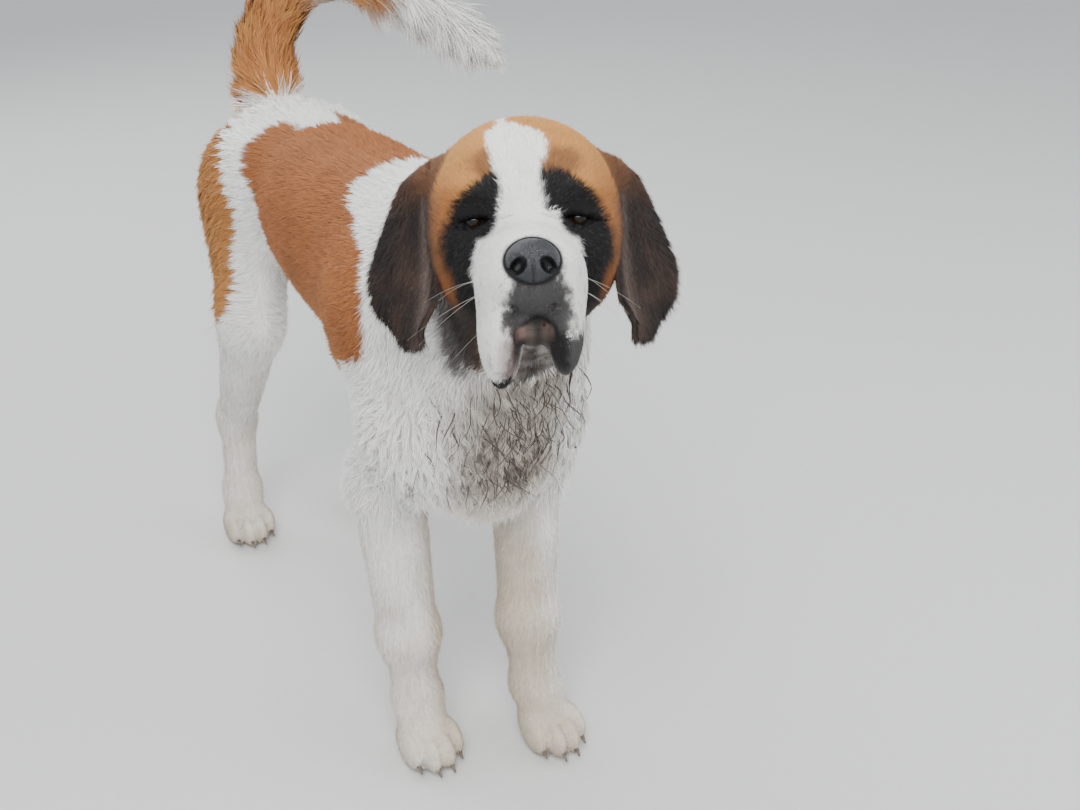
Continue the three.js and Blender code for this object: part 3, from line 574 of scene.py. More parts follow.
def coat_colour(p):
    """The coat's colour at points of the dog's frame: the same for skin and tufts."""
    tone = np.zeros((len(p), 3))
    head = step(head_share(p) + 0.14 * noise(p, 14, 45) + 0.07 * noise(p, 5, 46), 0.3, 0.7)
    some = head < 1
    tone[some] = body_colour(p[some])
    some = head > 0
    h = off_head(p[some])
    tan = head_colour(p[some])
    throat = step(h[:, 2] + 0.3 * h[:, 1], -76, -104) * step(h[:, 1], -20, 6) * step(np.abs(h[:, 0]), 52, 30)
    tan = mix(tan, COAT_COLOURS["white"], throat)
    tone[some] += (tan - tone[some]) * head[some, None]
    # Darker at the top of the neck, under the ears: partly dark hair, partly painted shade under the ear
    # flaps
    h = off_head(p)
    dark = step(np.abs(h[:, 0]), 44, 62) * step(h[:, 1], 160, 130) * step(h[:, 1], 20, 40)
    dark = dark * step(h[:, 2] + 6 * noise(p, 12, 9), -156, -138) * step(h[:, 2], 60, 30)
    tone = mix(tone, np.array(COAT_COLOURS["ear"]) * 1.5, 0.92 * dark * (1 - head * step(h[:, 2], -90, -60)))
    # Darker hair under the chin and between the flews: partly damp, dirty hair, partly painted shade behind
    # the flews, with a painted shadow line down the middle
    across = np.abs(h[:, 0] - 4)
    behind = step(h[:, 1] + 1.0 * np.maximum(0, -135 - h[:, 2]), -44, -20)
    chin = np.maximum(step(across, 15, 10) * step(h[:, 2], -170, -150), behind * step(across, 46, 30))
    chin = chin * step(h[:, 2], -98, -112) * step(h[:, 2], -250, -190) * (h[:, 1] < 90)
    chin = (chin * (0.9 + 0.25 * noise(p, 9, 47))).clip(0, 1)
    tone = mix(tone, COAT_COLOURS["chin_dirt_and_shade"], chin)
    tone = mix(tone, COAT_COLOURS["black"], 0.8 * chin * np.exp(-((h[:, 0] - 4) / 5) ** 2))
    some = near_tail(p)
    q = p[some]
    share, gap = tail_place(q)
    tail = step(gap - tail_radius(share) * 1.3, 10, 0) * step(q[:, 2] + 0.3 * q[:, 1], 884, 896)
    tail = tail * (q[:, 1] > 250)
    tone[some] += (tail_colour(q, share) - tone[some]) * tail[:, None]
    return tone


# The lie and the length of the coat

def unit(v):
    return v / np.maximum(np.linalg.norm(v, axis=1), 1e-9)[:, None]


def coat_lie(p, out):
    """The way the hair points on the skin, as a direction along it."""
    n = len(p)
    way = np.tile(np.array((0.0, 1.0, -0.42)), (n, 1))

    def turn(towards, share):
        nonlocal way
        way = way + (np.asarray(towards) - way) * share[:, None]

    turn((0, 0.55, -0.9), step(p[:, 1], 200, 330) * step(p[:, 2], 760, 690))
    turn((0, 0.05, -1), step(p[:, 1], 380, 430) * step(p[:, 2], 760, 690))
    turn((0, 0.75, -0.75), step(p[:, 1], -180, -300))
    turn((0, -0.1, -1), step(out[:, 1], -0.1, -0.6) * step(p[:, 1], -200, -330))
    turn((0, 0.12, -1), step(p[:, 2], 470, 400))
    turn((0, -0.75, -0.65), step(p[:, 2], 75, 45))
    swirl = unit(way)
    swirl[:, 0] += 0.18 * noise(p, 70, 31)
    swirl[:, 2] += 0.18 * noise(p, 70, 32)
    h = off_head(p)
    side = np.clip(h[:, 0] / 30, -1, 1)
    up = step(h[:, 2], -24, 8)
    forward = step(h[:, 1], 20, -50)
    low = 1 - up
    on_face = np.stack([side * (0.35 + 0.35 * low), 0.75 + 0.2 * forward * low, 0.75 * up - 0.85 * low], 1)
    flews = step(h[:, 2], -40, -80) * forward
    hanging = np.stack([side * 0.25, np.full(n, 0.35), np.full(n, -1.0)], 1)
    on_face = on_face + (hanging - on_face) * flews[:, None]
    on_face = on_face @ HEAD_TO_DOG.T
    head = head_share(p)[:, None]
    way = swirl + (on_face - swirl) * head
    share, gap = tail_place(p)
    ahead = unit(np.gradient(TAIL_LINE, axis=0))
    along = ahead[np.clip(np.round(share * (len(TAIL_LINE) - 1)).astype(int), 0, len(TAIL_LINE) - 1)]
    droop = along + np.array((0, 0, -1)) * (0.5 * step(share, 0.4, 0.62))[:, None]
    tail = (step(gap - tail_radius(share) * 0.7, 12, 0) * (p[:, 1] > 300) * step(p[:, 2], 748, 790))[:, None]
    way = way + (droop - way) * tail
    way = way - out * (way * out).sum(1)[:, None]
    return unit(way)


def new_object(name, mesh):
    made = bpy.data.objects.new(name, mesh)
    bpy.context.scene.collection.objects.link(made)
    return made


def ended(bm, name):
    """A mesh of what was being shaped."""
    mesh = bpy.data.meshes.new(name)
    bm.to_mesh(mesh)
    bm.free()
    return mesh


def evaluated(piece):
    """A piece's mesh with its modifiers applied, the piece itself removed."""
    bpy.context.view_layer.update()
    mesh = bpy.data.meshes.new_from_object(piece.evaluated_get(bpy.context.evaluated_depsgraph_get()))
    bpy.data.objects.remove(piece)
    return mesh


def points_of(mesh):
    co = np.empty(len(mesh.vertices) * 3, np.float32)
    mesh.vertices.foreach_get("co", co)
    return co.reshape(-1, 3).astype(float)


def set_points(mesh, points):
    mesh.vertices.foreach_set("co", np.asarray(points, np.float32).ravel())
    mesh.update()


def paint(mesh, name, colours):
    """Keeps a colour for each point, for the material to read."""
    if name in mesh.attributes:
        mesh.attributes.remove(mesh.attributes[name])
    layer = mesh.attributes.new(name, "FLOAT_COLOR", "POINT")
    rgba = np.ones((len(mesh.vertices), 4), np.float32)
    rgba[:, :3] = np.clip(colours, 0, 1)
    layer.data.foreach_set("color", rgba.ravel())


def place(points_mm):
    return Matrix.Translation(Vector(to_frame(points_mm)))


def add_ball(bm, centre, radii, turn=Matrix.Identity(4), fine=(20, 12)):
    size = Matrix.Diagonal(Vector([*(np.array(radii) / 1000), 1]))
    at = place(centre) @ turn @ size
    bmesh.ops.create_uvsphere(bm, u_segments=fine[0], v_segments=fine[1], radius=1, matrix=at)


def add_limb(bm, form):
    a, b = form["a"], form["b"]
    squash = Matrix.Diagonal(Vector((form["narrow"], 1, 1, 1)))
    for end, r in ((a, form["ra"]), (b, form["rb"])):
        add_ball(bm, end, (r * form["narrow"], r, r))
    way = Vector(b - a)
    turn = way.to_track_quat("Z", "Y").to_matrix().to_4x4()
    ends = {"radius1": form["ra"] / 1000, "radius2": form["rb"] / 1000, "depth": way.length / 1000}
    bmesh.ops.create_cone(bm, cap_ends=True, segments=20, matrix=place((a + b) / 2) @ squash @ turn, **ends)


def add_forms(bm, forms, mirrored=False, turn=None):
    for form, _ in forms:
        for way in ((1, -1) if mirrored and form["a"][0] else (1,)):
            own = dict(form)
            for key in ("a", "b"):
                if key in own:
                    own[key] = own[key] * (way, 1, 1)
                    if turn is not None:
                        own[key] = on_head([own[key]])[0]
            if own["kind"] == "ball":
                add_ball(bm, own["a"], own["r"], turn or Matrix.Identity(4))
            else:
                add_limb(bm, own)


# Points and triangles of the body and the ears, kept for the coat that grows on them
MADE = {}


def skin_mesh(cell):
    """The forms as one closed mesh, finer at the face, drawn onto the skin's surface."""
    bm = bmesh.new()
    head_turn = Matrix(HEAD_TO_DOG.tolist()).to_4x4()
    add_forms(bm, TRUNK_FORMS, mirrored=True)
    add_forms(bm, NECK_FORMS)
    add_forms(bm, LEG_FORMS)
    add_forms(bm, TAIL_FORMS)
    add_forms(bm, HEAD_FORMS, mirrored=True, turn=head_turn)
    mesh = ended(bm, "skin")
    rough = new_object("skin_rough", mesh)
    remesh = rough.modifiers.new("remesh", "REMESH")
    remesh.mode = "VOXEL"
    remesh.voxel_size = cell / 1000
    smooth = rough.modifiers.new("smooth", "SMOOTH")
    smooth.iterations = 6
    mesh = evaluated(rough)
    set_points(mesh, to_frame(settle(from_frame(points_of(mesh)), 3, 14)))
    bm = bmesh.new()
    bm.from_mesh(mesh)
    for reach in ("face", "eyes"):
        x, y, z = off_head(from_frame([f.calc_center_median() for f in bm.faces])).T
        x = np.abs(x)
        if reach == "face":
            close = (x < 96) & (y < 40) & (z > -175) & (z < 70)
        else:
            close = (np.abs(x - EYE["apart"] / 2) < 25) & (np.abs(z - EYE["rise"]) < 20) & (y < 8)
            close |= (x < 30) & (y < -80) & (z > -130)
        close &= y > -175
        bm.faces.ensure_lookup_table()
        edges = {e for i in np.nonzero(close)[0] for e in bm.faces[i].edges}
        bmesh.ops.subdivide_edges(bm, edges=list(edges), cuts=1, use_grid_fill=True)
        bmesh.ops.triangulate(bm, faces=[f for f in bm.faces if len(f.verts) > 4])
    bm.to_mesh(mesh)
    bm.free()
    p = from_frame(points_of(mesh))
    face = np.nonzero(np.abs(off_head(p)).max(1) < 190)[0]
    p[face] = settle(p[face], 3, 3)
    p[:, 2] = np.maximum(p[:, 2], 0.3)
    set_points(mesh, to_frame(p))
    return mesh


EAR_ROWS = [  # height, middle x and y, half width, swing of the back edge, tuck of the front one
    (60, 78, 100, 26, 0, 0),
    (70, 104, 96, 36, 5, 6),
    (56, 118, 92, 43, 11, 20),
    (24, 122, 87, 47, 20, 28),
    (-12, 124, 82, 50, 31, 33),
    (-46, 125, 77, 51, 40, 35),
    (-80, 125, 71, 45, 36, 29),
    (-106, 124, 64, 32, 18, 11),
    (-124, 121, 59, 13, 5, 3),
]


def ear_point(u, t):
    """A point of the ear's leaf at +X, in the head's frame: u is -1 to 1 across it and t 0 to 1 down it."""
    rows = np.array(EAR_ROWS, float)
    down = t * (len(rows) - 1)
    z, x, y, half, swing, tuck = [np.interp(down, range(len(rows)), rows[:, k]) for k in range(6)]
    fold = t * 8 * np.sin(pi * u)
    out = swing * np.maximum(0, u) ** 1.5 - tuck * np.maximum(0, -u) + fold
    return np.stack([x + out, y + u * (half - 3) * 0.97, z + 4 * t], 1)


def ear_mesh(way):
    bm = bmesh.new()
    across, down = 30, 52
    bmesh.ops.create_grid(bm, x_segments=across, y_segments=down, size=1)
    at = np.array([v.co for v in bm.verts])
    u = np.clip(at[:, 0], -1, 1)
    t = np.clip((1 - at[:, 1]) / 2, 0, 1)
    ripple = 1.5 * np.sin(9 * t + 3 * u) * t
    leaf = ear_point(u * np.sqrt(np.maximum(0, 1 - np.maximum(0, (t - 0.86) / 0.15) ** 2.2)).clip(0.05, 1), t)
    leaf[:, 0] = way * (leaf[:, 0] + ripple)
    for v, co in zip(bm.verts, to_frame(on_head(leaf))):
        v.co = co
    mesh = ended(bm, "ear")
    piece = new_object("ear_rough", mesh)
    wall = piece.modifiers.new("wall", "SOLIDIFY")
    wall.thickness = 0.0045
    wall.offset = 0
    soft = piece.modifiers.new("soft", "SMOOTH")
    soft.iterations = 3
    mesh = evaluated(piece)
    bm = bmesh.new()
    bm.from_mesh(mesh)
    bmesh.ops.recalc_face_normals(bm, faces=bm.faces)
    bm.to_mesh(mesh)
    bm.free()
    return mesh


def ear_colour(p):
    c = COAT_COLOURS
    h = both_sides(off_head(p))
    tone = np.tile(np.array(c["ear"]), (len(p), 1))
    tone = mix(tone, c["ear_brown"], np.clip(0.1 + 0.4 * noise(p, 22, 41), 0, 0.6))
    tone = mix(tone, np.array(c["brown"]) * 0.8, 0.6 * step(h[:, 2], 16, 66))
    # Painted highlight along the fold of each ear
    painted_fold_highlight = np.exp(-((h[:, 1] - 56 - 0.08 * h[:, 2]) / 8) ** 2) * step(h[:, 2], 60, 20)
    return mix(tone, c["ear_fold_highlight"], 0.75 * painted_fold_highlight)


def join_meshes(name, meshes):
    bm = bmesh.new()
    for mesh in meshes:
        bm.from_mesh(mesh)
    whole = ended(bm, name)
    return whole


# Materials

def nodes_of(material):
    material.use_nodes = True
    tree = material.node_tree
    tree.nodes.clear()
    out = tree.nodes.new("ShaderNodeOutputMaterial")
    shader = tree.nodes.new("ShaderNodeBsdfPrincipled")
    tree.links.new(shader.outputs[0], out.inputs[0])
    return tree, shader


def add_sockets(group, way, **kinds):
    for name, kind in kinds.items():
        group.interface.new_socket(name=name, in_out=way, socket_type=f"NodeSocket{kind}")


def cloud_group():
    """Soft clouds between a dark and a light colour, and how far each place is from the dark one."""
    if "soft clouds" in bpy.data.node_groups:
        return bpy.data.node_groups["soft clouds"]
    group = bpy.data.node_groups.new("soft clouds", "ShaderNodeTree")
    add_sockets(group, "INPUT", Dark="Color", Light="Color", Scale="Float")
    add_sockets(group, "OUTPUT", Colour="Color", Share="Float")
    add = group.nodes.new
    link = group.links.new
    given, result = add("NodeGroupInput"), add("NodeGroupOutput")
    where = add("ShaderNodeTexCoord")
    cloud = add("ShaderNodeTexNoise")
    between = add("ShaderNodeMix")
    between.data_type = "RGBA"
    link(where.outputs["Object"], cloud.inputs["Vector"])
    link(given.outputs["Scale"], cloud.inputs["Scale"])
    link(cloud.outputs["Fac"], between.inputs["Factor"])
    link(given.outputs["Dark"], between.inputs[6])
    link(given.outputs["Light"], between.inputs[7])
    link(between.outputs[2], result.inputs["Colour"])
    link(cloud.outputs["Fac"], result.inputs["Share"])
    return group


def clouded(tree, scale, dark, light):
    """The clouds, placed in a material with its own colours."""
    clouds = tree.nodes.new("ShaderNodeGroup")
    clouds.node_tree = cloud_group()
    clouds.inputs["Scale"].default_value = scale
    clouds.inputs["Dark"].default_value = (*dark, 1)
    clouds.inputs["Light"].default_value = (*np.clip(light, 0, 1), 1)
    return clouds


def hair_group():
    """Streaks of lighter and darker hair over a coat colour, and their height."""
    if "hair streaks" in bpy.data.node_groups:
        return bpy.data.node_groups["hair streaks"]
    group = bpy.data.node_groups.new("hair streaks", "ShaderNodeTree")
    add_sockets(group, "INPUT", Coat="Color", Contrast="Float", Scale="Float")
    add_sockets(group, "OUTPUT", Colour="Color", Roughness="Float", Height="Float")
    add = group.nodes.new
    link = group.links.new
    given, result = add("NodeGroupInput"), add("NodeGroupOutput")
    where = add("ShaderNodeTexCoord")
    stretch = add("ShaderNodeMapping")
    stretch.inputs["Scale"].default_value = (1.0, 0.35, 0.35)
    fine = add("ShaderNodeTexNoise")
    fine.inputs["Detail"].default_value = 3.0
    broad = add("ShaderNodeTexNoise")
    broad.inputs["Scale"].default_value = 22.0
    link(where.outputs["Object"], stretch.inputs["Vector"])
    link(stretch.outputs[0], fine.inputs["Vector"])
    link(given.outputs["Scale"], fine.inputs["Scale"])
    link(where.outputs["Object"], broad.inputs["Vector"])
    both = add("ShaderNodeMath")
    both.operation = "ADD"
    link(fine.outputs["Fac"], both.inputs[0])
    link(broad.outputs["Fac"], both.inputs[1])
    centred = add("ShaderNodeMath")
    centred.operation = "SUBTRACT"
    centred.inputs[1].default_value = 1.0
    link(both.outputs[0], centred.inputs[0])
    scaled = add("ShaderNodeMath")
    scaled.operation = "MULTIPLY_ADD"
    scaled.inputs[2].default_value = 1.0
    link(centred.outputs[0], scaled.inputs[0])
    link(given.outputs["Contrast"], scaled.inputs[1])
    tint = add("ShaderNodeVectorMath")
    tint.operation = "SCALE"
    link(given.outputs["Coat"], tint.inputs[0])
    link(scaled.outputs[0], tint.inputs["Scale"])
    rough = add("ShaderNodeMapRange")
    rough.inputs["To Min"].default_value = 0.58
    rough.inputs["To Max"].default_value = 0.86
    link(fine.outputs["Fac"], rough.inputs["Value"])
    link(tint.outputs[0], result.inputs["Colour"])
    link(rough.outputs[0], result.inputs["Roughness"])
    link(fine.outputs["Fac"], result.inputs["Height"])
    return group


def coat_material(name, contrast, scale, bump):
    material = bpy.data.materials.new(name)
    tree, shader = nodes_of(material)
    kept = tree.nodes.new("ShaderNodeAttribute")
    kept.attribute_name = "coat"
    streaks = tree.nodes.new("ShaderNodeGroup")
    streaks.node_tree = hair_group()
    streaks.inputs["Contrast"].default_value = contrast
    streaks.inputs["Scale"].default_value = scale
    tree.links.new(kept.outputs["Color"], streaks.inputs["Coat"])
    tree.links.new(streaks.outputs["Colour"], shader.inputs["Base Color"])
    tree.links.new(streaks.outputs["Roughness"], shader.inputs["Roughness"])
    if bump:
        height = tree.nodes.new("ShaderNodeBump")
        height.inputs["Strength"].default_value = bump
        height.inputs["Distance"].default_value = 0.002
        tree.links.new(streaks.outputs["Height"], height.inputs["Height"])
        tree.links.new(height.outputs[0], shader.inputs["Normal"])
    shader.inputs["Specular IOR Level"].default_value = 0.16
    return material


def plain_material(name, colour, roughness, spread):
    """A finish of one colour broken up by noise."""
    material = bpy.data.materials.new(name)
    tree, shader = nodes_of(material)
    clouds = clouded(tree, 90.0, np.array(colour) * (1 - spread), np.array(colour) * (1 + spread))
    tree.links.new(clouds.outputs["Colour"], shader.inputs["Base Color"])
    shader.inputs["Roughness"].default_value = roughness
    return material


def finish(piece, *nodes, slot, material):
    piece.data.materials.clear()
    piece.data.materials.append(material)
    if nodes:
        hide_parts(*nodes)
    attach(piece, "root")
    return piece


def shade_smooth(mesh):
    mesh.polygons.foreach_set("use_smooth", np.ones(len(mesh.polygons), bool))
    mesh.update()


# Tufts of the coat

def loose_triangles(mesh):
    mesh.calc_loop_triangles()
    tri = np.empty(len(mesh.loop_triangles) * 3, np.int32)
    mesh.loop_triangles.foreach_get("vertices", tri)
    return tri.reshape(-1, 3)


def roots_on(points, triangles, weight, count, rng):
    """Places on a surface, more of them where the weight of a triangle is high, and the way out at each."""
    a, b, c = (points[triangles[:, k]] for k in range(3))
    cross = np.cross(b - a, c - a)
    area = np.linalg.norm(cross, axis=1) / 2
    share = area * weight
    pick = rng.choice(len(triangles), count, p=share / share.sum())
    u, v = rng.random((2, count))
    flip = u + v > 1
    u[flip], v[flip] = 1 - u[flip], 1 - v[flip]
    at = a[pick] + u[:, None] * (b - a)[pick] + v[:, None] * (c - a)[pick]
    return at, unit(cross[pick])


def chart_places(p, out, regions):
    """Places of roots on an unwrap of the skin: a flat chart for each region and each way that it faces."""
    axis = np.abs(out).argmax(1)
    facing = axis * 2 + (out[np.arange(len(p)), axis] > 0)
    key = regions * 6 + facing
    across = np.array([[1, 2], [0, 2], [0, 1]])[axis]
    flat = np.stack([p[np.arange(len(p)), across[:, k]] for k in (0, 1)], 1)
    corner = np.array([CHARTS[k][0] for k in key])
    base = np.array([CHARTS[k][1] for k in key])
    return corner + (flat - base) * CHART_SCALE[0]


CHARTS = {}
CHART_SCALE = [1.0]
HEAD_REGION = 6


def lay_charts(p, out, regions):
    """Shelves of charts in the unit square, from the skin's own faces."""
    axis = np.abs(out).argmax(1)
    key = regions * 6 + axis * 2 + (out[np.arange(len(p)), axis] > 0)
    sizes = {}
    for k in range(int(regions.max() + 1) * 6):
        here = p[key == k] if (key == k).any() else np.zeros((1, 3))
        low, high = here.min(0) - 12, here.max(0) + 12
        a, b = [(1, 2), (0, 2), (0, 1)][k % 6 // 2]
        sizes[k] = ((low[a], low[b]), (high[a] - low[a], high[b] - low[b]))
    order = sorted(sizes, key=lambda k: -sizes[k][1][1])
    scale = 1 / 1200
    while True:
        x = y = shelf = 0.006
        placed = {}
        for k in order:
            w, h = (s * scale + 0.008 for s in sizes[k][1])
            if x + w > 0.994:
                x, y, shelf = 0.006, y + shelf, 0
            placed[k] = (np.array((x, y)), np.array(sizes[k][0]))
            x += w
            shelf = max(shelf, h)
        if y + shelf < 0.994:
            break
        scale *= 0.97
    CHARTS.update(placed)
    CHART_SCALE[0] = scale


def region_of(p):
    """A number for the part of the dog that a point is on, for the charts."""
    z = p[:, 2]
    side = (p[:, 0] > -10).astype(int)
    region = np.where(p[:, 1] < -60, 0, 1)
    region = np.where((z < 440) & (p[:, 1] < 0), 2 + side, region)
    region = np.where((z < 470) & (p[:, 1] >= 0), 4 + side, region)
    region = np.where(head_share(p) > 0.5, HEAD_REGION, region)
    share, gap = tail_place(p)
    on_tail = (gap < 60) & (p[:, 1] > 300) & (z > 770)
    return np.where(on_tail, np.where(share < 0.5, 7, 8), region)


def tuft_mesh(name, root, out, way, length, width, lift, droop, tone, regions, rows, rng, curl=0.0):
    """Thin tapered tufts as one mesh. Each has rows of two points and a tip, and bends to lie along the skin.
    A tuft's unwrap is a small patch at its root's place."""
    n = len(root)
    side = unit(np.cross(out, way))
    side = unit(side + out * rng.normal(0, 0.3, n)[:, None])
    per = rows * 2 + 1
    points = np.empty((n, per, 3))
    for r in range(rows + 1):
        t = r / rows
        spine = root + way * (t * length)[:, None] + out * (lift * t ** 0.8 - 1.0 * (r == 0))[:, None]
        spine[:, 2] -= droop * t * t
        if curl:
            sway = np.sin(t * 5 + root[:, 0] * 0.2 + root[:, 2] * 0.13) * t
            spine += side * (curl * length * 0.12 * sway)[:, None]
        if r == rows:
            points[:, -1] = spine
            continue
        half = width * ((0.5,) if rows == 1 else (0.42, 0.5, 0.42, 0.3))[r] * side
        points[:, 2 * r] = spine - half
        points[:, 2 * r + 1] = spine + half
    points[:, :, 2] = np.maximum(points[:, :, 2], 0.4)
    faces = []
    for r in range(rows - 1):
        a = 2 * r
        faces += [(a, a + 3, a + 1), (a, a + 2, a + 3)]
    faces.append((2 * rows - 2, 2 * rows, 2 * rows - 1))
    index = (np.array(faces)[None] + np.arange(n)[:, None, None] * per).reshape(-1)
    mesh = bpy.data.meshes.new(name)
    mesh.vertices.add(n * per)
    mesh.vertices.foreach_set("co", to_frame(points.reshape(-1, 3)).astype(np.float32).ravel())
    mesh.loops.add(len(index))
    mesh.loops.foreach_set("vertex_index", index.astype(np.int32))
    mesh.polygons.add(len(index) // 3)
    mesh.polygons.foreach_set("loop_start", np.arange(0, len(index), 3, dtype=np.int32))
    mesh.update(calc_edges=True)
    # Painted shade and light along each tuft: darker at the root, lighter at the tip
    shade = np.linspace(0.82, 1.06, rows + 1)
    shade = np.r_[np.repeat(shade[:-1], 2), shade[-1]]
    # Each tuft's tone differs at random, and a few get a small painted sheen
    own = tone * rng.normal(1, 0.10, n).clip(0.7, 1.25)[:, None] + 0.03 * (rng.random(n) ** 4)[:, None]
    paint(mesh, "coat", (own[:, None, :] * shade[None, :, None]).reshape(-1, 3))
    corner = [(x, y) for y in np.linspace(0, 0.75, rows) for x in (0.0, 1.0)] + [(0.5, 1.0)]
    uv = chart_places(root, out, regions)[:, None, :] + (np.array(corner) - 0.5)[None] * 0.003
    layer = mesh.uv_layers.new(name="OFBake")
    layer.data.foreach_set("uv", uv.reshape(-1, 2)[index].astype(np.float32).ravel())
    shade_smooth(mesh)
    # Tufts are lit much as the skin that they lie on
    face = np.cross(way, side)
    soft = unit(out + face * 0.35 + way * 0.12)
    mesh.normals_split_custom_set_from_vertices(np.repeat(soft, per, axis=0))
    return mesh


def gathered(root, way, out, size, pull, seed):
    """Turns the way of each tuft towards the middle of the clump it hangs in."""
    cells = np.floor(root / size)
    middle = (cells + 0.2 + 0.6 * np.stack([hashed(cells, seed + k) for k in range(3)], 1)) * size
    to = middle - root
    to -= out * (to * out).sum(1)[:, None]
    return unit(way + to * (pull / size))


# Operators

class DogSizes(bpy.types.PropertyGroup):
    skin_cell: FloatProperty(
        name="Skin facets", description="Size of the skin's facets in millimetres, halved on the face",
        default=6.1, min=3)
    coat_share: FloatProperty(
        name="Coat density", description="Share of the full number of tufts",
        default=1.0, min=0.05, max=1.2)
    coat_length: FloatProperty(
        name="Coat length", description="Length of the hair, as a share of the dog's own",
        default=1.0, min=0.2, max=1.5)
    whiskers: IntProperty(
        name="Whiskers", description="Number of whiskers on each side",
        default=6, min=0)


class DogColours(bpy.types.PropertyGroup):
    eye: FloatVectorProperty(
        name="Iris", description="Colour of the iris",
        subtype="COLOR", default=(0.020, 0.010, 0.006), min=0, max=1)
    nose: FloatVectorProperty(
        name="Nose", description="Colour of the nose leather",
        subtype="COLOR", default=(0.013, 0.0145, 0.018), min=0, max=1)
    claw: FloatVectorProperty(
        name="Claws", description="Colour of the claws",
        subtype="COLOR", default=(0.085, 0.066, 0.052), min=0, max=1)
    floor: FloatVectorProperty(
        name="Floor", description="Colour of the floor",
        subtype="COLOR", default=(0.62, 0.62, 0.61), min=0, max=1)


class DOG_OT_skin(bpy.types.Operator):
    """Adds the skin, one closed mesh from nose to tail with both ears"""
    bl_idname = "dog.skin"
    bl_label = "Skin"

    def execute(self, context):
        sizes = context.scene.dog_sizes
        body = skin_mesh(sizes.skin_cell * (1))
        at = from_frame(points_of(body))
        # The skin of the body and of the ears is painted darker than their coat: painted shade under the
        # tufts
        paint(body, "coat", coat_colour(at) * 0.82)
        ears = [ear_mesh(way) for way in (-1, 1)]
        for ear in ears:
            paint(ear, "coat", ear_colour(from_frame(points_of(ear))) * 0.8)
        MADE["body"] = (at, loose_triangles(body))
        MADE["ears"] = [(from_frame(points_of(ear)), loose_triangles(ear)) for ear in ears]
        whole = join_meshes("skin", [body, *ears])
        shade_smooth(whole)
        piece = new_object("skin", whole)
        material = coat_material("skin with short hair", 0.35, 420.0, 0.35)
        finish(piece, *FLESH, slot="coat_white", material=material)
        return {"FINISHED"}


class DOG_OT_eyes(bpy.types.Operator):
    """Adds both eyes, each a moist ball with a dark iris"""
    bl_idname = "dog.eyes"
    bl_label = "Eyes"

    def execute(self, context):
        colours = context.scene.dog_colours
        for side, way in (("right", -1), ("left", 1)):
            centre = on_head([[way * EYE["apart"] / 2, EYE["back"], EYE["rise"]]])[0]
            bm = bmesh.new()
            gaze = Vector(HEAD_TO_DOG @ np.array((way * 0.16, -1, -0.05))).normalized()
            turn = gaze.to_track_quat("Z", "Y").to_matrix().to_4x4()
            add_ball(bm, centre, (EYE["radius"],) * 3, turn, (48, 32))
            for v in bm.verts:
                p = from_frame(np.array(v.co)) - centre
                ahead = Vector(p).normalized().dot(gaze)
                bulge = 1 + 0.07 * max(0, (ahead - 0.72) / 0.28) ** 1.2
                v.co = Vector(to_frame(centre + p * bulge))
            mesh = ended(bm, f"eye_{side}")
            p = from_frame(points_of(mesh)) - centre
            off = np.degrees(np.arccos(np.clip(unit(p) @ np.array(gaze), -1, 1)))
            tone = np.tile(np.array((0.045, 0.028, 0.025)), (len(p), 1))
            tone = mix(tone, np.array(colours.eye) * 0.3, step(off, 42, 36))
            streak = 0.5 + 0.5 * np.sin(np.arctan2(p[:, 2], p[:, 0]) * 23)
            tone = mix(tone, np.array(colours.eye), step(off, 36, 32) * (0.6 + 0.4 * streak))
            tone = mix(tone, (0.002, 0.002, 0.002), step(off, 17, 14))
            paint(mesh, "iris", tone)
            shade_smooth(mesh)
            piece = new_object(f"eye_{side}_ball", mesh)
            material = bpy.data.materials.new("moist eye")
            tree, shader = nodes_of(material)
            kept = tree.nodes.new("ShaderNodeAttribute")
            kept.attribute_name = "iris"
            tree.links.new(kept.outputs["Color"], shader.inputs["Base Color"])
            shader.inputs["Roughness"].default_value = 0.22
            shader.inputs["Specular IOR Level"].default_value = 0.3
            shader.inputs["Coat Weight"].default_value = 0.35
            shader.inputs["Coat Roughness"].default_value = 0.04
            finish(piece, f"eye_{side}", slot="eye", material=material)
        return {"FINISHED"}


def nose_point(v):
    """A point of the unit sphere as one of the nose leather, and how deep in a nostril it is."""
    square = [np.sign(c) * abs(c) ** 0.84 for c in v]
    width = 1 - 0.34 * max(0, -square[2]) ** 1.6 - 0.20 * max(0, square[2]) ** 2
    px, py, pz = square[0] * 25.5 * width, square[1] * 21, square[2] * 21.5
    ax = abs(px)
    front = max(0.0, -v[1]) ** 0.5
    lean = ax - 13.6 + 0.28 * (pz + 4)
    hole = max(0.0, 1 - np.hypot(lean / 7.6, (pz + 4.5) / 8.4) ** 2.6)
    slit = max(0.0, 1 - np.hypot((ax - 20.5) / 6.5, (pz + 8.5 - 0.3 * (ax - 20)) / 3) ** 2)
    wing = 2.2 * np.exp(-((ax - 21) / 3.6) ** 2 - ((pz - 1) / 6) ** 2)
    wing += 2.0 * np.exp(-((ax - 13) / 7) ** 2 - ((pz - 8) / 4) ** 2)
    groove = 2.4 * np.exp(-(px / 0.9) ** 2) * (1 - step(np.array(pz), -4, 4))
    py += front * (13 * hole ** 0.7 + 6 * slit - wing + groove) + 2.2 * max(0, square[2]) ** 2
    return (px, py, pz), max(hole, 0.8 * slit, 0.25 * groove * front)


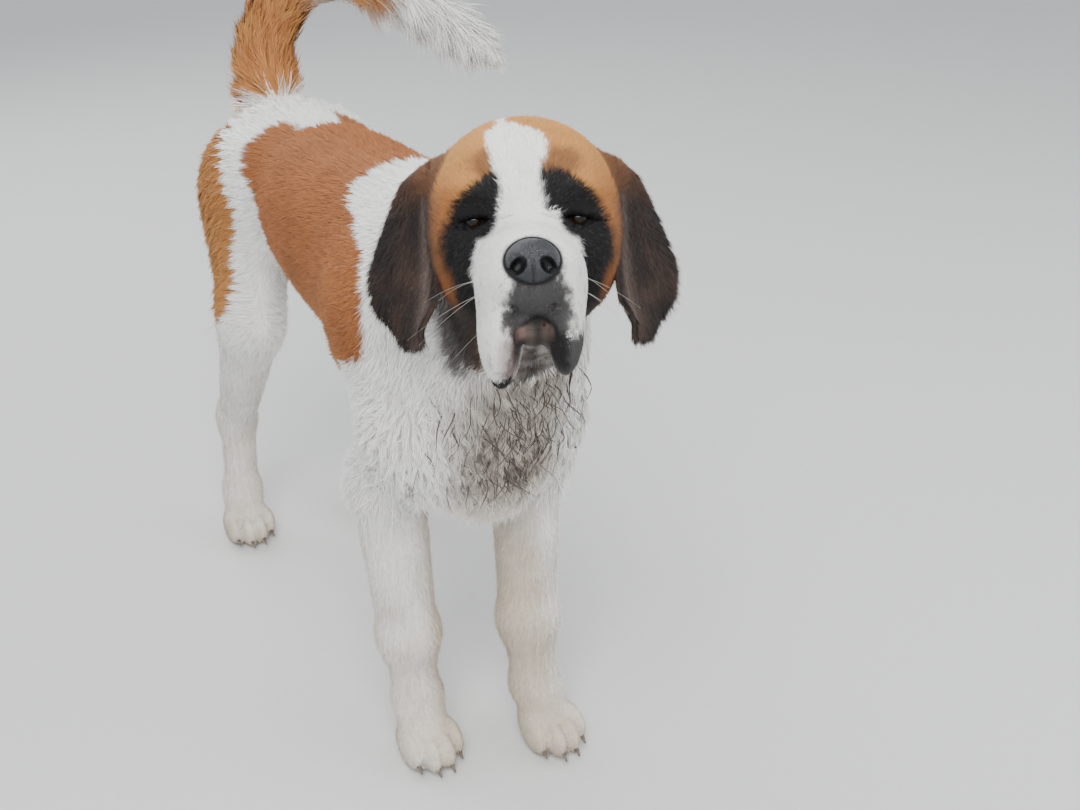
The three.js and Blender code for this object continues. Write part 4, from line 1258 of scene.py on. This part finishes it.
class DOG_OT_nose(bpy.types.Operator):
    """Adds the nose leather with its nostrils"""
    bl_idname = "dog.nose"
    bl_label = "Nose"

    def execute(self, context):
        bm = bmesh.new()
        bmesh.ops.create_icosphere(bm, subdivisions=6, radius=1)
        light = []
        for v in bm.verts:
            place, depth = nose_point(v.co)
            v.co = Vector(to_frame(on_head([np.array(place) + NOSE_AT])[0]))
            light.append(1 - 0.93 * min(1, depth * 1.6))
        mesh = ended(bm, "nose_leather")
        paint(mesh, "light", np.repeat(np.array(light)[:, None], 3, axis=1))
        shade_smooth(mesh)
        piece = new_object("nose_leather", mesh)
        material = bpy.data.materials.new("nose leather")
        tree, shader = nodes_of(material)
        where = tree.nodes.new("ShaderNodeTexCoord")
        pebble = tree.nodes.new("ShaderNodeTexVoronoi")
        pebble.inputs["Scale"].default_value = 720.0
        tree.links.new(where.outputs["Object"], pebble.inputs["Vector"])
        bump = tree.nodes.new("ShaderNodeBump")
        bump.inputs["Strength"].default_value = 0.75
        bump.inputs["Distance"].default_value = 0.0008
        tree.links.new(pebble.outputs["Distance"], bump.inputs["Height"])
        tree.links.new(bump.outputs[0], shader.inputs["Normal"])
        leather = np.array(context.scene.dog_colours.nose)
        clouds = clouded(tree, 60.0, leather * 0.55, leather * 1.7)
        kept = tree.nodes.new("ShaderNodeAttribute")
        kept.attribute_name = "light"
        shaded = tree.nodes.new("ShaderNodeMix")
        shaded.data_type = "RGBA"
        shaded.blend_type = "MULTIPLY"
        shaded.inputs["Factor"].default_value = 1.0
        tree.links.new(clouds.outputs["Colour"], shaded.inputs[6])
        tree.links.new(kept.outputs["Color"], shaded.inputs[7])
        tree.links.new(shaded.outputs[2], shader.inputs["Base Color"])
        rough = tree.nodes.new("ShaderNodeMapRange")
        rough.inputs["To Min"].default_value = 0.30
        rough.inputs["To Max"].default_value = 0.5
        tree.links.new(clouds.outputs["Share"], rough.inputs["Value"])
        tree.links.new(rough.outputs[0], shader.inputs["Roughness"])
        finish(piece, "nose", slot="nose", material=material)
        return {"FINISHED"}


class DOG_OT_claws(bpy.types.Operator):
    """Adds four claws to each paw"""
    bl_idname = "dog.claws"
    bl_label = "Claws"

    def execute(self, context):
        bm = bmesh.new()
        for legs in (FORE, HIND):
            for side in ("right", "left"):
                px, py = legs[side]["paw"][:2]
                for along, back in TOES:
                    before = len(bm.verts)
                    bmesh.ops.create_cone(bm, cap_ends=True, segments=10, radius1=1, radius2=0.35, depth=1)
                    bm.verts.ensure_lookup_table()
                    own = [bm.verts[i] for i in range(before, len(bm.verts))]
                    bmesh.ops.subdivide_edges(bm, edges=list({e for v in own for e in v.link_edges}), cuts=2)
                    bm.verts.ensure_lookup_table()
                    base = np.array((px + along, py - 70 + back, 19))
                    for i in range(before, len(bm.verts)):
                        v = bm.verts[i]
                        t = v.co.z + 0.5
                        arc = np.array((v.co.x * 3.8, -t * 11, v.co.y * 4.2 - 6.5 * t * t))
                        v.co = Vector(to_frame(base + arc))
        bmesh.ops.recalc_face_normals(bm, faces=bm.faces)
        mesh = ended(bm, "claws")
        shade_smooth(mesh)
        piece = new_object("claws", mesh)
        material = bpy.data.materials.new("claw horn")
        tree, shader = nodes_of(material)
        horn = np.array(context.scene.dog_colours.claw)
        clouds = clouded(tree, 300.0, horn * 0.6, horn * 2.6)
        tree.links.new(clouds.outputs["Colour"], shader.inputs["Base Color"])
        shader.inputs["Roughness"].default_value = 0.38
        finish(piece, slot="nose", material=material)
        return {"FINISHED"}


COAT_PARTS = {  # number, width, rows, length, share that it lifts, clump size and pull, curl
    "muzzle": (105000, 0.8, 1, 3.6, 0.16, 4, 0.25, 0),
    "face": (90000, 1.0, 1, 7.0, 0.16, 8, 0.4, 0),
    "skull": (50000, 1.3, 1, 11.0, 0.18, 12, 0.45, 0),
    "neck": (52000, 1.3, 2, 18.0, 0.13, 18, 0.5, 0.3),
    "breast": (28000, 1.2, 3, 24.0, 0.17, 16, 1.1, 0.9),
    "flank_front": (130000, 1.5, 1, 18.0, 0.14, 16, 0.45, 0),
    "flank_back": (110000, 1.5, 1, 18.0, 0.14, 16, 0.45, 0),
    "thighs": (50000, 1.6, 2, 24.0, 0.16, 18, 0.7, 0.4),
    "forelegs": (85000, 1.3, 1, 12.0, 0.16, 12, 0.5, 0),
    "hindlegs": (65000, 1.3, 1, 12.0, 0.16, 12, 0.5, 0),
    "paws": (46000, 1.1, 1, 6.0, 0.18, 8, 0.4, 0),
    "tail": (24000, 1.5, 3, 38.0, 0.20, 16, 0.6, 0.4),
    "plume": (24000, 1.4, 4, 56.0, 0.20, 18, 0.9, 0.6),
}


def survey(p, out):
    """Shares of the skin that the parts of the coat are told apart by, for each place."""
    h = off_head(p)
    head = head_share(p)
    share, gap = np.zeros(len(p)), np.full(len(p), 999.0)
    some = near_tail(p)
    share[some], gap[some] = tail_place(p[some])
    tail = step(gap - tail_radius(share), 8, 0) * (p[:, 1] > 300) * step(p[:, 2], 758, 776)
    eye = np.hypot(np.abs(h[:, 0]) - 52, h[:, 2] - EYE["rise"])
    nose = np.linalg.norm((h - np.array(NOSE_AT)) / (27.5, 23, 22.5), axis=1)
    bare = np.clip(step(eye, 10, 15) + (h[:, 1] > 20), 0, 1) * step(nose, 0.98, 1.12)
    bare = bare * step(distance(MOUTH, h), 0, 6) * step(distance(LOWER_LIP, h), 2.5, 4.5)
    return {"h": h, "head": head, "share": share, "tail": tail, "body": (1 - head) * (1 - tail), "bare": bare,
            "leg": step(p[:, 2], 450, 400), "muzzle": step(h[:, 1], 6, -20) * step(h[:, 2], 20, 0)}


def part_weight(part, p, out, at):
    """Where a part of the coat grows: a weight for each place on the skin."""
    y, z = p[:, 1], p[:, 2]
    head, body, high = at["head"] * at["bare"], at["body"], 1 - at["leg"]
    if part == "muzzle":
        return head * at["muzzle"]
    if part == "face":
        return head * (1 - at["muzzle"]) * step(at["h"][:, 1], 62, 34)
    if part == "skull":
        return head * step(at["h"][:, 1], 34, 62)
    if part == "neck":
        return body * step(y, -170, -230) * step(z, 560, 620)
    if part == "breast":
        ahead = 0.4 + 0.6 * step(out[:, 1], 0.2, -0.3)
        return body * step(y, -280, -340) * step(z, 640, 560) * step(z, 380, 430) * ahead
    if part == "flank_front":
        return body * high * step(y, 60, 20) * step(y, -330, -250)
    if part == "flank_back":
        return body * high * step(y, 20, 60) * step(y, 330, 250)
    if part == "thighs":
        return body * high * step(y, 250, 330)
    if part == "forelegs":
        return body * at["leg"] * (y < 0) * step(z, 60, 95)
    if part == "hindlegs":
        return body * step(z, 470, 420) * (y > 60) * step(z, 60, 95)
    if part == "paws":
        return step(z, 100, 70) * step(z, 1, 5)
    if part == "tail":
        return at["tail"] * step(at["share"], 0.62, 0.5)
    return at["tail"] * step(at["share"], 0.42, 0.56)


def tuft_length(part, base, p, out):
    """Longer behind the legs and thighs and under the throat, shorter towards the tip of the tail."""
    length = np.full(len(p), base)
    if part == "thighs":
        length += 20 * step(out[:, 1], 0.4, 0.9) * step(p[:, 2], 740, 660)
    if part == "flank_front":
        length += 12 * step(p[:, 2], 540, 450) * step(p[:, 1], -100, -190)
    if part == "forelegs":
        length += 14 * step(p[:, 2], 350, 430)
        length += 22 * step(out[:, 1], 0.5, 0.95) * step(p[:, 2], 150, 220)
    if part == "breast":
        length += 16 * step(p[:, 2], 490, 440)
    if part == "neck":
        length += 8 * step(out[:, 2], 0.2, -0.4)
    if part == "plume":
        share, _ = tail_place(p)
        length *= 1 - 0.62 * step(share, 0.8, 1.0)
    return length


class DOG_OT_coat(bpy.types.Operator):
    """Adds one part of the coat as joined tufts that follow its lie"""
    bl_idname = "dog.coat"
    bl_label = "Coat"
    part: StringProperty(name="Part", description="Which part of the coat to add", default="neck")

    def execute(self, context):
        sizes = context.scene.dog_sizes
        count, width, rows, base, rise, clump, pull, curl = COAT_PARTS[self.part]
        count = int(count * sizes.coat_share * (1))
        rng = np.random.default_rng(list(COAT_PARTS).index(self.part) + 5)
        points, triangles = MADE["body"]
        if "middles" not in MADE:
            a, b, c = (points[triangles[:, k]] for k in range(3))
            middle, face = (a + b + c) / 3, unit(np.cross(b - a, c - a))
            MADE["middles"] = (middle, face, survey(middle, face))
            lay_charts(middle, face, region_of(middle))
        middle, face, at = MADE["middles"]
        weight = np.clip(part_weight(self.part, middle, face, at), 0, 1)
        root, out = roots_on(points, triangles, weight, count, rng)
        way = coat_lie(root, out)
        way = unit(way + rng.normal(0, 0.09, (count, 3)))
        way = gathered(root, way, out, clump, pull, 51)
        length = tuft_length(self.part, base * sizes.coat_length, root, out)
        length = length * rng.normal(1, 0.16, count).clip(0.6, 1.4)
        lift = length * rise * rng.normal(1, 0.25, count).clip(0.3, 1.4)
        droop = length * {"plume": 0.22, "breast": 0.12, "thighs": 0.06}.get(self.part, 0.0)
        tone = coat_colour(root + rng.normal(0, 1.0, root.shape))
        mesh = tuft_mesh(f"coat_{self.part}", root, out, way, length, width, lift, droop, tone,
                         region_of(root), rows, rng, curl)
        piece = new_object(f"coat_{self.part}", mesh)
        tan = self.part in ("face", "skull", "flank_front", "flank_back", "tail")
        slot = "coat_tan" if tan else "coat_white"
        finish(piece, slot=slot, material=coat_material(f"hair of the {self.part}", 0.14, 500.0, 0))
        return {"FINISHED"}


class DOG_OT_ear_coat(bpy.types.Operator):
    """Adds the hair of both ears, longer at their edges"""
    bl_idname = "dog.ear_coat"
    bl_label = "Ear coat"

    def execute(self, context):
        share = context.scene.dog_sizes.coat_share * 1
        for (points, triangles), side in zip(MADE["ears"], ("right", "left")):
            rng = np.random.default_rng(71 if side == "right" else 72)
            middle = points[triangles].mean(1)
            h = both_sides(off_head(middle))
            weight = step(-h[:, 2], -62, -50) + 0.2
            count = int(42000 * share)
            root, out = roots_on(points, triangles, weight, count, rng)
            h = off_head(root)
            down = np.stack([0 * h[:, 0], 0.25 + 0 * h[:, 0], -1 + 0 * h[:, 0]], 1)
            back = step(h[:, 1], 84, 118)
            outward = np.stack([0.35 * np.sign(h[:, 0]), np.full(count, 0.8), np.full(count, -0.75)], 1)
            down = down + (outward - down) * back[:, None]
            down = down @ HEAD_TO_DOG.T
            way = unit(down - out * (down * out).sum(1)[:, None] * 0.9 + rng.normal(0, 0.09, (count, 3)))
            way = gathered(root, way, out, 12, 0.4, 61)
            length = 7.5 + 9 * back + 4 * step(-h[:, 2], 90, 120)
            length = length * rng.normal(1, 0.18, count).clip(0.5, 1.5)
            tone = ear_colour(root)
            lift, droop = length * 0.10, length * 0.05
            mesh = tuft_mesh(f"coat_ear_{side}", root, out, way, length, 1.2, lift, droop, tone,
                             np.full(count, HEAD_REGION), 1, rng)
            piece = new_object(f"coat_ear_{side}", mesh)
            finish(piece, slot="coat_dark", material=coat_material(f"hair of the {side} ear", 0.35, 300.0, 0))
        return {"FINISHED"}


def add_strand(bm, line, radii, sides=5):
    """A thin tapered tube along points, closed at both ends."""
    rings = []
    line = [Vector(p) for p in line]
    for i, at in enumerate(line):
        way = (line[min(i + 1, len(line) - 1)] - line[max(i - 1, 0)]).normalized()
        turn = way.to_track_quat("Z", "Y").to_matrix()
        angles = np.arange(sides) * 2 * pi / sides
        rings.append([bm.verts.new(at + turn @ Vector((cos(a), sin(a), 0)) * radii[i]) for a in angles])
    for low, high in zip(rings, rings[1:]):
        for k in range(sides):
            bm.faces.new((low[k], low[(k + 1) % sides], high[(k + 1) % sides], high[k]))
    bm.faces.new(rings[0][::-1])
    bm.faces.new(rings[-1])


class DOG_OT_whiskers(bpy.types.Operator):
    """Adds the whiskers of the muzzle and the wet strands of the breast"""
    bl_idname = "dog.whiskers"
    bl_label = "Whiskers and strands"

    def execute(self, context):
        rng = np.random.default_rng(9)
        bm = bmesh.new()
        for way in (-1, 1):
            for n in range(context.scene.dog_sizes.whiskers):
                row, place = n % 3, n // 3
                start = settle_on_head(way * (44 + rng.normal(0, 2)), -78 + place * 15, -62 - row * 14)
                long = rng.uniform(38, 78)
                out = np.array((way * 0.85, 0.35 + 0.1 * place, -0.25 - 0.15 * row)) + rng.normal(0, 0.1, 3)
                steps = np.linspace(0, 1, 7)
                line = [start + HEAD_TO_DOG @ (out * long * t + np.array((0, 0, -12 * t * t))) for t in steps]
                add_strand(bm, [to_frame(p) for p in line], np.linspace(0.00018, 0.00006, 7))
        mesh = ended(bm, "whiskers")
        shade_smooth(mesh)
        stiff = plain_material("whisker", (0.40, 0.37, 0.33), 0.4, 0.3)
        finish(new_object("whiskers", mesh), slot="coat_white", material=stiff)
        bm = bmesh.new()
        for n in range(150):
            x, z = rng.normal(-6, 36), rng.uniform(470, 640)
            start = settle_from(np.array((x, -330.0, z)), np.array((0.1 * rng.normal(), -1.0, 0.0)))
            long = rng.uniform(18, 62)
            sway = rng.normal(0, 0.35, 2)
            line = []
            for t in np.linspace(0, 1, 8):
                across = sway[0] * long * t + 4 * sin(5 * t + n)
                line.append(start + np.array((across, -3 - 7 * sin(pi * t), -long * t * 0.9)))
            radii = np.array([0.9, 1.1, 1.2, 1.1, 0.9, 0.7, 0.5, 0.15]) * rng.uniform(0.25, 0.8) / 1000
            add_strand(bm, [to_frame(p) for p in line], radii)
        mesh = ended(bm, "wet_strands")
        shade_smooth(mesh)
        wet = plain_material("wet hair", (0.070, 0.052, 0.042), 0.4, 0.5)
        finish(new_object("wet_strands", mesh), slot="coat_dark", material=wet)
        return {"FINISHED"}


def settle_from(inside, way):
    """The first point of the skin's surface from a point inside it."""
    steps = np.linspace(0, 220, 221)
    line = inside + unit(way[None]) * steps[:, None]
    d = skin_distance(line)
    return line[np.argmax(d > 0)]


def settle_on_head(x, y, z):
    inside = on_head([[0, y, z]])[0]
    to = on_head([[x, y, z]])[0]
    return settle_from(inside, to - inside)


# Camera, floor and lights, measured from the photograph
CAMERA = {"at": (-636, -1630, 1270), "yaw": 28.8, "pitch": 26.9, "roll": -0.8, "lens": 1300 / 1080 * 36}


class DOG_OT_stage(bpy.types.Operator):
    """Adds the floor, the soft lights and the camera"""
    bl_idname = "dog.stage"
    bl_label = "Stage"

    def execute(self, context):
        scene = context.scene
        yaw, pitch, roll = (radians(CAMERA[k]) for k in ("yaw", "pitch", "roll"))
        ahead = Vector((sin(yaw) * cos(pitch), cos(yaw) * cos(pitch), -sin(pitch)))
        right = Vector((cos(yaw), -sin(yaw), 0))
        up = right.cross(ahead)
        right, up = right * cos(roll) + up * sin(roll), up * cos(roll) - right * sin(roll)
        camera = bpy.data.objects.new("camera", bpy.data.cameras.new("camera"))
        camera.data.lens = CAMERA["lens"]
        camera.data.sensor_width = 36
        camera.data.clip_end = 60
        turn = Matrix((right, up, -ahead)).transposed().to_4x4()
        camera.matrix_world = Matrix.Translation(Vector(to_frame(CAMERA["at"]))) @ turn
        scene.collection.objects.link(camera)
        scene.camera = camera
        bm = bmesh.new()
        bmesh.ops.create_grid(bm, x_segments=4, y_segments=4, size=20)
        mesh = ended(bm, "floor")
        floor = new_object("floor", mesh)
        mesh.materials.append(plain_material("pale floor", scene.dog_colours.floor, 0.8, 0.03))
        for name, at, size, power in (
            ("key", (-1.4, -2.4, 3.4), 2.2, 185),
            ("fill", (2.8, -1.6, 2.2), 3.0, 60),
            ("back", (-0.6, 3.0, 3.0), 3.0, 90),
        ):
            light = bpy.data.objects.new(name, bpy.data.lights.new(name, "AREA"))
            light.data.size = size
            light.data.energy = power
            light.location = at
            light.rotation_euler = (Vector((0, 0, 0.5)) - Vector(at)).to_track_quat("-Z", "Y").to_euler()
            scene.collection.objects.link(light)
        world = bpy.data.worlds.new("studio")
        scene.world = world
        world.use_nodes = True
        sky = world.node_tree.nodes["Background"]
        sky.inputs["Color"].default_value = (0.93, 0.96, 1.0, 1)
        sky.inputs["Strength"].default_value = 0.9
        return {"FINISHED"}


class DOG_PT_panel(bpy.types.Panel):
    """Lists the dog's pieces"""
    bl_idname = "DOG_PT_panel"
    bl_label = "Saint Bernard"
    bl_space_type = "VIEW_3D"
    bl_region_type = "UI"
    bl_category = "Dog"

    def draw(self, context):
        layout = self.layout
        for name in DogSizes.__annotations__:
            layout.prop(context.scene.dog_sizes, name)
        for name in DogColours.__annotations__:
            layout.prop(context.scene.dog_colours, name)
        for operator in PIECES:
            layout.operator(operator.bl_idname)


PIECES = (DOG_OT_skin, DOG_OT_eyes, DOG_OT_nose, DOG_OT_claws, DOG_OT_coat, DOG_OT_ear_coat, DOG_OT_whiskers,
          DOG_OT_stage)
CLASSES = (DogSizes, DogColours, *PIECES, DOG_PT_panel)


def register():
    for one in CLASSES:
        bpy.utils.register_class(one)
    bpy.types.Scene.dog_sizes = PointerProperty(type=DogSizes)
    bpy.types.Scene.dog_colours = PointerProperty(type=DogColours)


def unregister():
    del bpy.types.Scene.dog_colours
    del bpy.types.Scene.dog_sizes
    for one in reversed(CLASSES):
        bpy.utils.unregister_class(one)


def main():
    register()
    bpy.ops.dog.stage()
    bpy.ops.dog.skin()
    bpy.ops.dog.eyes()
    bpy.ops.dog.nose()
    bpy.ops.dog.claws()
    for part in COAT_PARTS:
        bpy.ops.dog.coat(part=part)
    bpy.ops.dog.ear_coat()
    bpy.ops.dog.whiskers()


if __name__ == "__main__":
    main()
